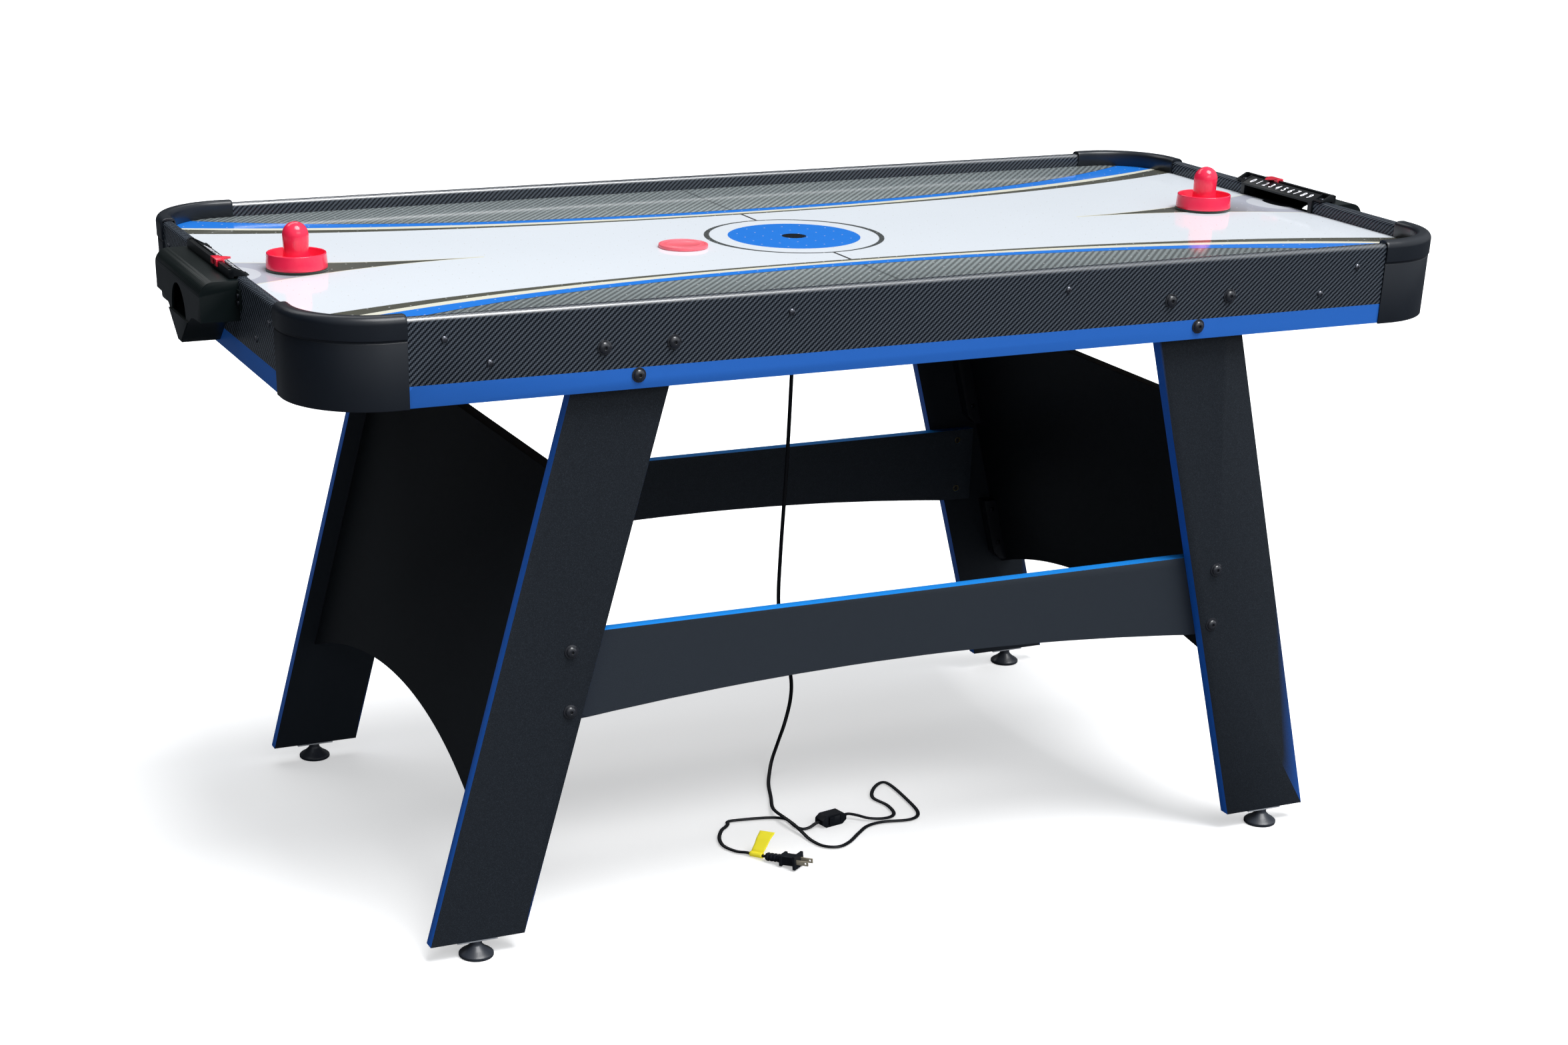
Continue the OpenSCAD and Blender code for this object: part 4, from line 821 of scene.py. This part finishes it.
# generic digits on the scorers, standing proud like a print
def digits(side):
    sgn = 1 if side == "right" else -1
    a = math.atan2(8.2, 16.8)
    zt = 787.0
    for i in range(10):
        cu = bpy.data.curves.new("digit", "FONT")
        cu.body = "9" if i == 6 else str(i)
        cu.align_x = "CENTER"
        cu.align_y = "CENTER"
        cu.size = 0.0128
        cu.shear = 0.35
        cu.extrude = 0.00012
        cu.offset = 0.00028
        ob = bpy.data.objects.new("d", cu)
        scene.collection.objects.link(ob)
        bpy.context.view_layer.update()
        me = bpy.data.meshes.new_from_object(ob.evaluated_get(bpy.context.evaluated_depsgraph_get()))
        bpy.data.objects.remove(ob)
        if i == 6:  # the 9 turned over
            me.transform(Matrix.Rotation(math.pi, 4, "Z"))
        xs, ys = [v.co.x for v in me.vertices], [v.co.y for v in me.vertices]
        me.transform(Matrix.Translation((-(min(xs) + max(xs)) / 2, -(min(ys) + max(ys)) / 2, 0)))
        # text X runs along -Y, text up runs up the slope (+X, +Z)
        ux = Vector((0, -1, 0))
        uy = Vector((math.cos(a), 0, math.sin(a)))
        uz = ux.cross(uy)
        y = (4.5 - i) * 15.0
        c = Vector((744.2 + 8.6, y, zt - 1.4 + 8.6 * math.tan(a) + 0.10)) / 1000
        mw = Matrix((( ux.x, uy.x, uz.x, c.x), (ux.y, uy.y, uz.y, c.y), (ux.z, uy.z, uz.z, c.z), (0, 0, 0, 1)))
        if sgn < 0:
            mw = Matrix.Rotation(math.pi, 4, "Z") @ mw
        me.transform(mw)
        smooth_by_angle(me, 40)
        link("digit_%s_%d" % (side, i), me, M["digit"], "table")

digits("left")
digits("right")

# -------------------------------------------------------- floor, light, camera
def stage():
    bm = bmesh.new()
    s = 30.0
    for v in ((-s, -s), (s, -s), (s, s), (-s, s)):
        bm.verts.new((v[0], v[1], 0))
    bm.faces.new(bm.verts)
    me = bpy.data.meshes.new("floor")
    bm.to_mesh(me)
    bm.free()
    fl = bpy.data.objects.new("floor", me)
    scene.collection.objects.link(fl)
    m = Mat("floor_pale", rough=0.9, spec=0.0)
    nt = m.nt
    cam_ray = S(nt, nt.nodes.new("ShaderNodeLightPath").outputs["Is Camera Ray"])
    pale = m.scale_col((0.90, 0.90, 0.905), m.noise(0.002, 2, 0.5) * 0.02 + 0.99)
    gloss_ray = S(nt, nt.nodes.new("ShaderNodeLightPath").outputs["Is Glossy Ray"])
    m.color(m.mix(cam_ray, m.mix(gloss_ray, (0.22, 0.23, 0.25), (0.065, 0.07, 0.078)), pale))
    m.b.inputs["Emission Color"].default_value = (1, 1, 1, 1)
    m.put("Emission Strength", cam_ray * 0.42)
    me.materials.append(m.m)
    w = bpy.data.worlds.new("studio")
    w.use_nodes = True
    nt = w.node_tree
    bg = nt.nodes["Background"]
    out = [n for n in nt.nodes if n.type == "OUTPUT_WORLD"][0]
    sp = nt.nodes.new("ShaderNodeSeparateXYZ")
    nt.links.new(nt.nodes.new("ShaderNodeTexCoord").outputs["Generated"], sp.inputs[0])
    dx, dy, dz = (S(nt, sp.outputs[k]) for k in range(3))
    f = (dx * 0.34 + dy * -0.42 + dz * 0.52 + 0.14).max(0.035).min(1.0)
    bg.inputs[0].default_value = (0.92, 0.96, 1.0, 1)
    nt.links.new((f * 0.95).s, bg.inputs[1])
    back = nt.nodes.new("ShaderNodeBackground")
    back.inputs[0].default_value = (1, 1, 1, 1)
    back.inputs[1].default_value = 1.0
    mx = nt.nodes.new("ShaderNodeMixShader")
    nt.links.new(nt.nodes.new("ShaderNodeLightPath").outputs["Is Camera Ray"], mx.inputs[0])
    nt.links.new(bg.outputs[0], mx.inputs[1])
    nt.links.new(back.outputs[0], mx.inputs[2])
    nt.links.new(mx.outputs[0], out.inputs[0])
    scene.world = w
    sun = bpy.data.lights.new("sky", "SUN")
    sun.energy = 2.9
    sun.angle = math.radians(34)
    ob = bpy.data.objects.new("sky", sun)
    scene.collection.objects.link(ob)
    ob.rotation_euler = Vector((-0.22, 0.34, -1.0)).to_track_quat("-Z", "Y").to_euler()
    def area(name, loc, aim, size, power):
        li = bpy.data.lights.new(name, "AREA")
        li.shape = "RECTANGLE"
        li.size, li.size_y = size
        li.energy = power
        ob = bpy.data.objects.new(name, li)
        scene.collection.objects.link(ob)
        ob.location = loc
        ob.rotation_euler = (Vector(aim) - Vector(loc)).to_track_quat("-Z", "Y").to_euler()
    area("key", (0.6, -4.0, 3.0), (0, 0, 0.6), (2.6, 1.4), 22)
    area("rim", (-0.6, 2.6, 3.4), (0, 0, 0.8), (3.4, 1.2), 26)

stage()

scene.view_settings.view_transform = "Standard"
cam = bpy.data.cameras.new("camera")
cam.sensor_fit = "HORIZONTAL"
cam.sensor_width = 36.0
cam.lens = 3862.09 * 36 / 2352
cam.shift_x = (1176 - 1020.05) / 2352
cam.shift_y = (1495.91 - 784) / 2352
cam.clip_start = 0.05
cam.clip_end = 60
co = bpy.data.objects.new("camera", cam)
scene.collection.objects.link(co)
right = Vector((0.918695, -0.394735, 0.013529))
down = Vector((-0.166908, -0.419045, -0.892493))
fwd = Vector((0.357968, 0.817671, -0.450859))
rot = Matrix((right, -down, -fwd)).transposed().to_4x4()
co.matrix_world = Matrix.Translation((-1.493102, -3.080141, 1.391098)) @ rot
scene.camera = co
# the lens shift belongs to this one viewpoint: away from it the lens is centred
for prop, full in (("shift_x", cam.shift_x), ("shift_y", cam.shift_y)):
    fc = cam.driver_add(prop)
    fc.driver.type = "SUM"
    var = fc.driver.variables.new()
    var.type = "TRANSFORMS"
    var.targets[0].id = co
    var.targets[0].transform_type = "LOC_X"
    var.targets[0].transform_space = "WORLD_SPACE"
    for mod in list(fc.modifiers):
        fc.modifiers.remove(mod)
    fc.keyframe_points.add(4)
    for kp, (at, val) in zip(fc.keyframe_points, ((-0.16, 0.0), (-0.06, full), (0.06, full), (0.16, 0.0))):
        kp.co = (-1.493102 + at, val)
        kp.interpolation = "LINEAR"
    fc.extrapolation = "CONSTANT"
    fc.update()
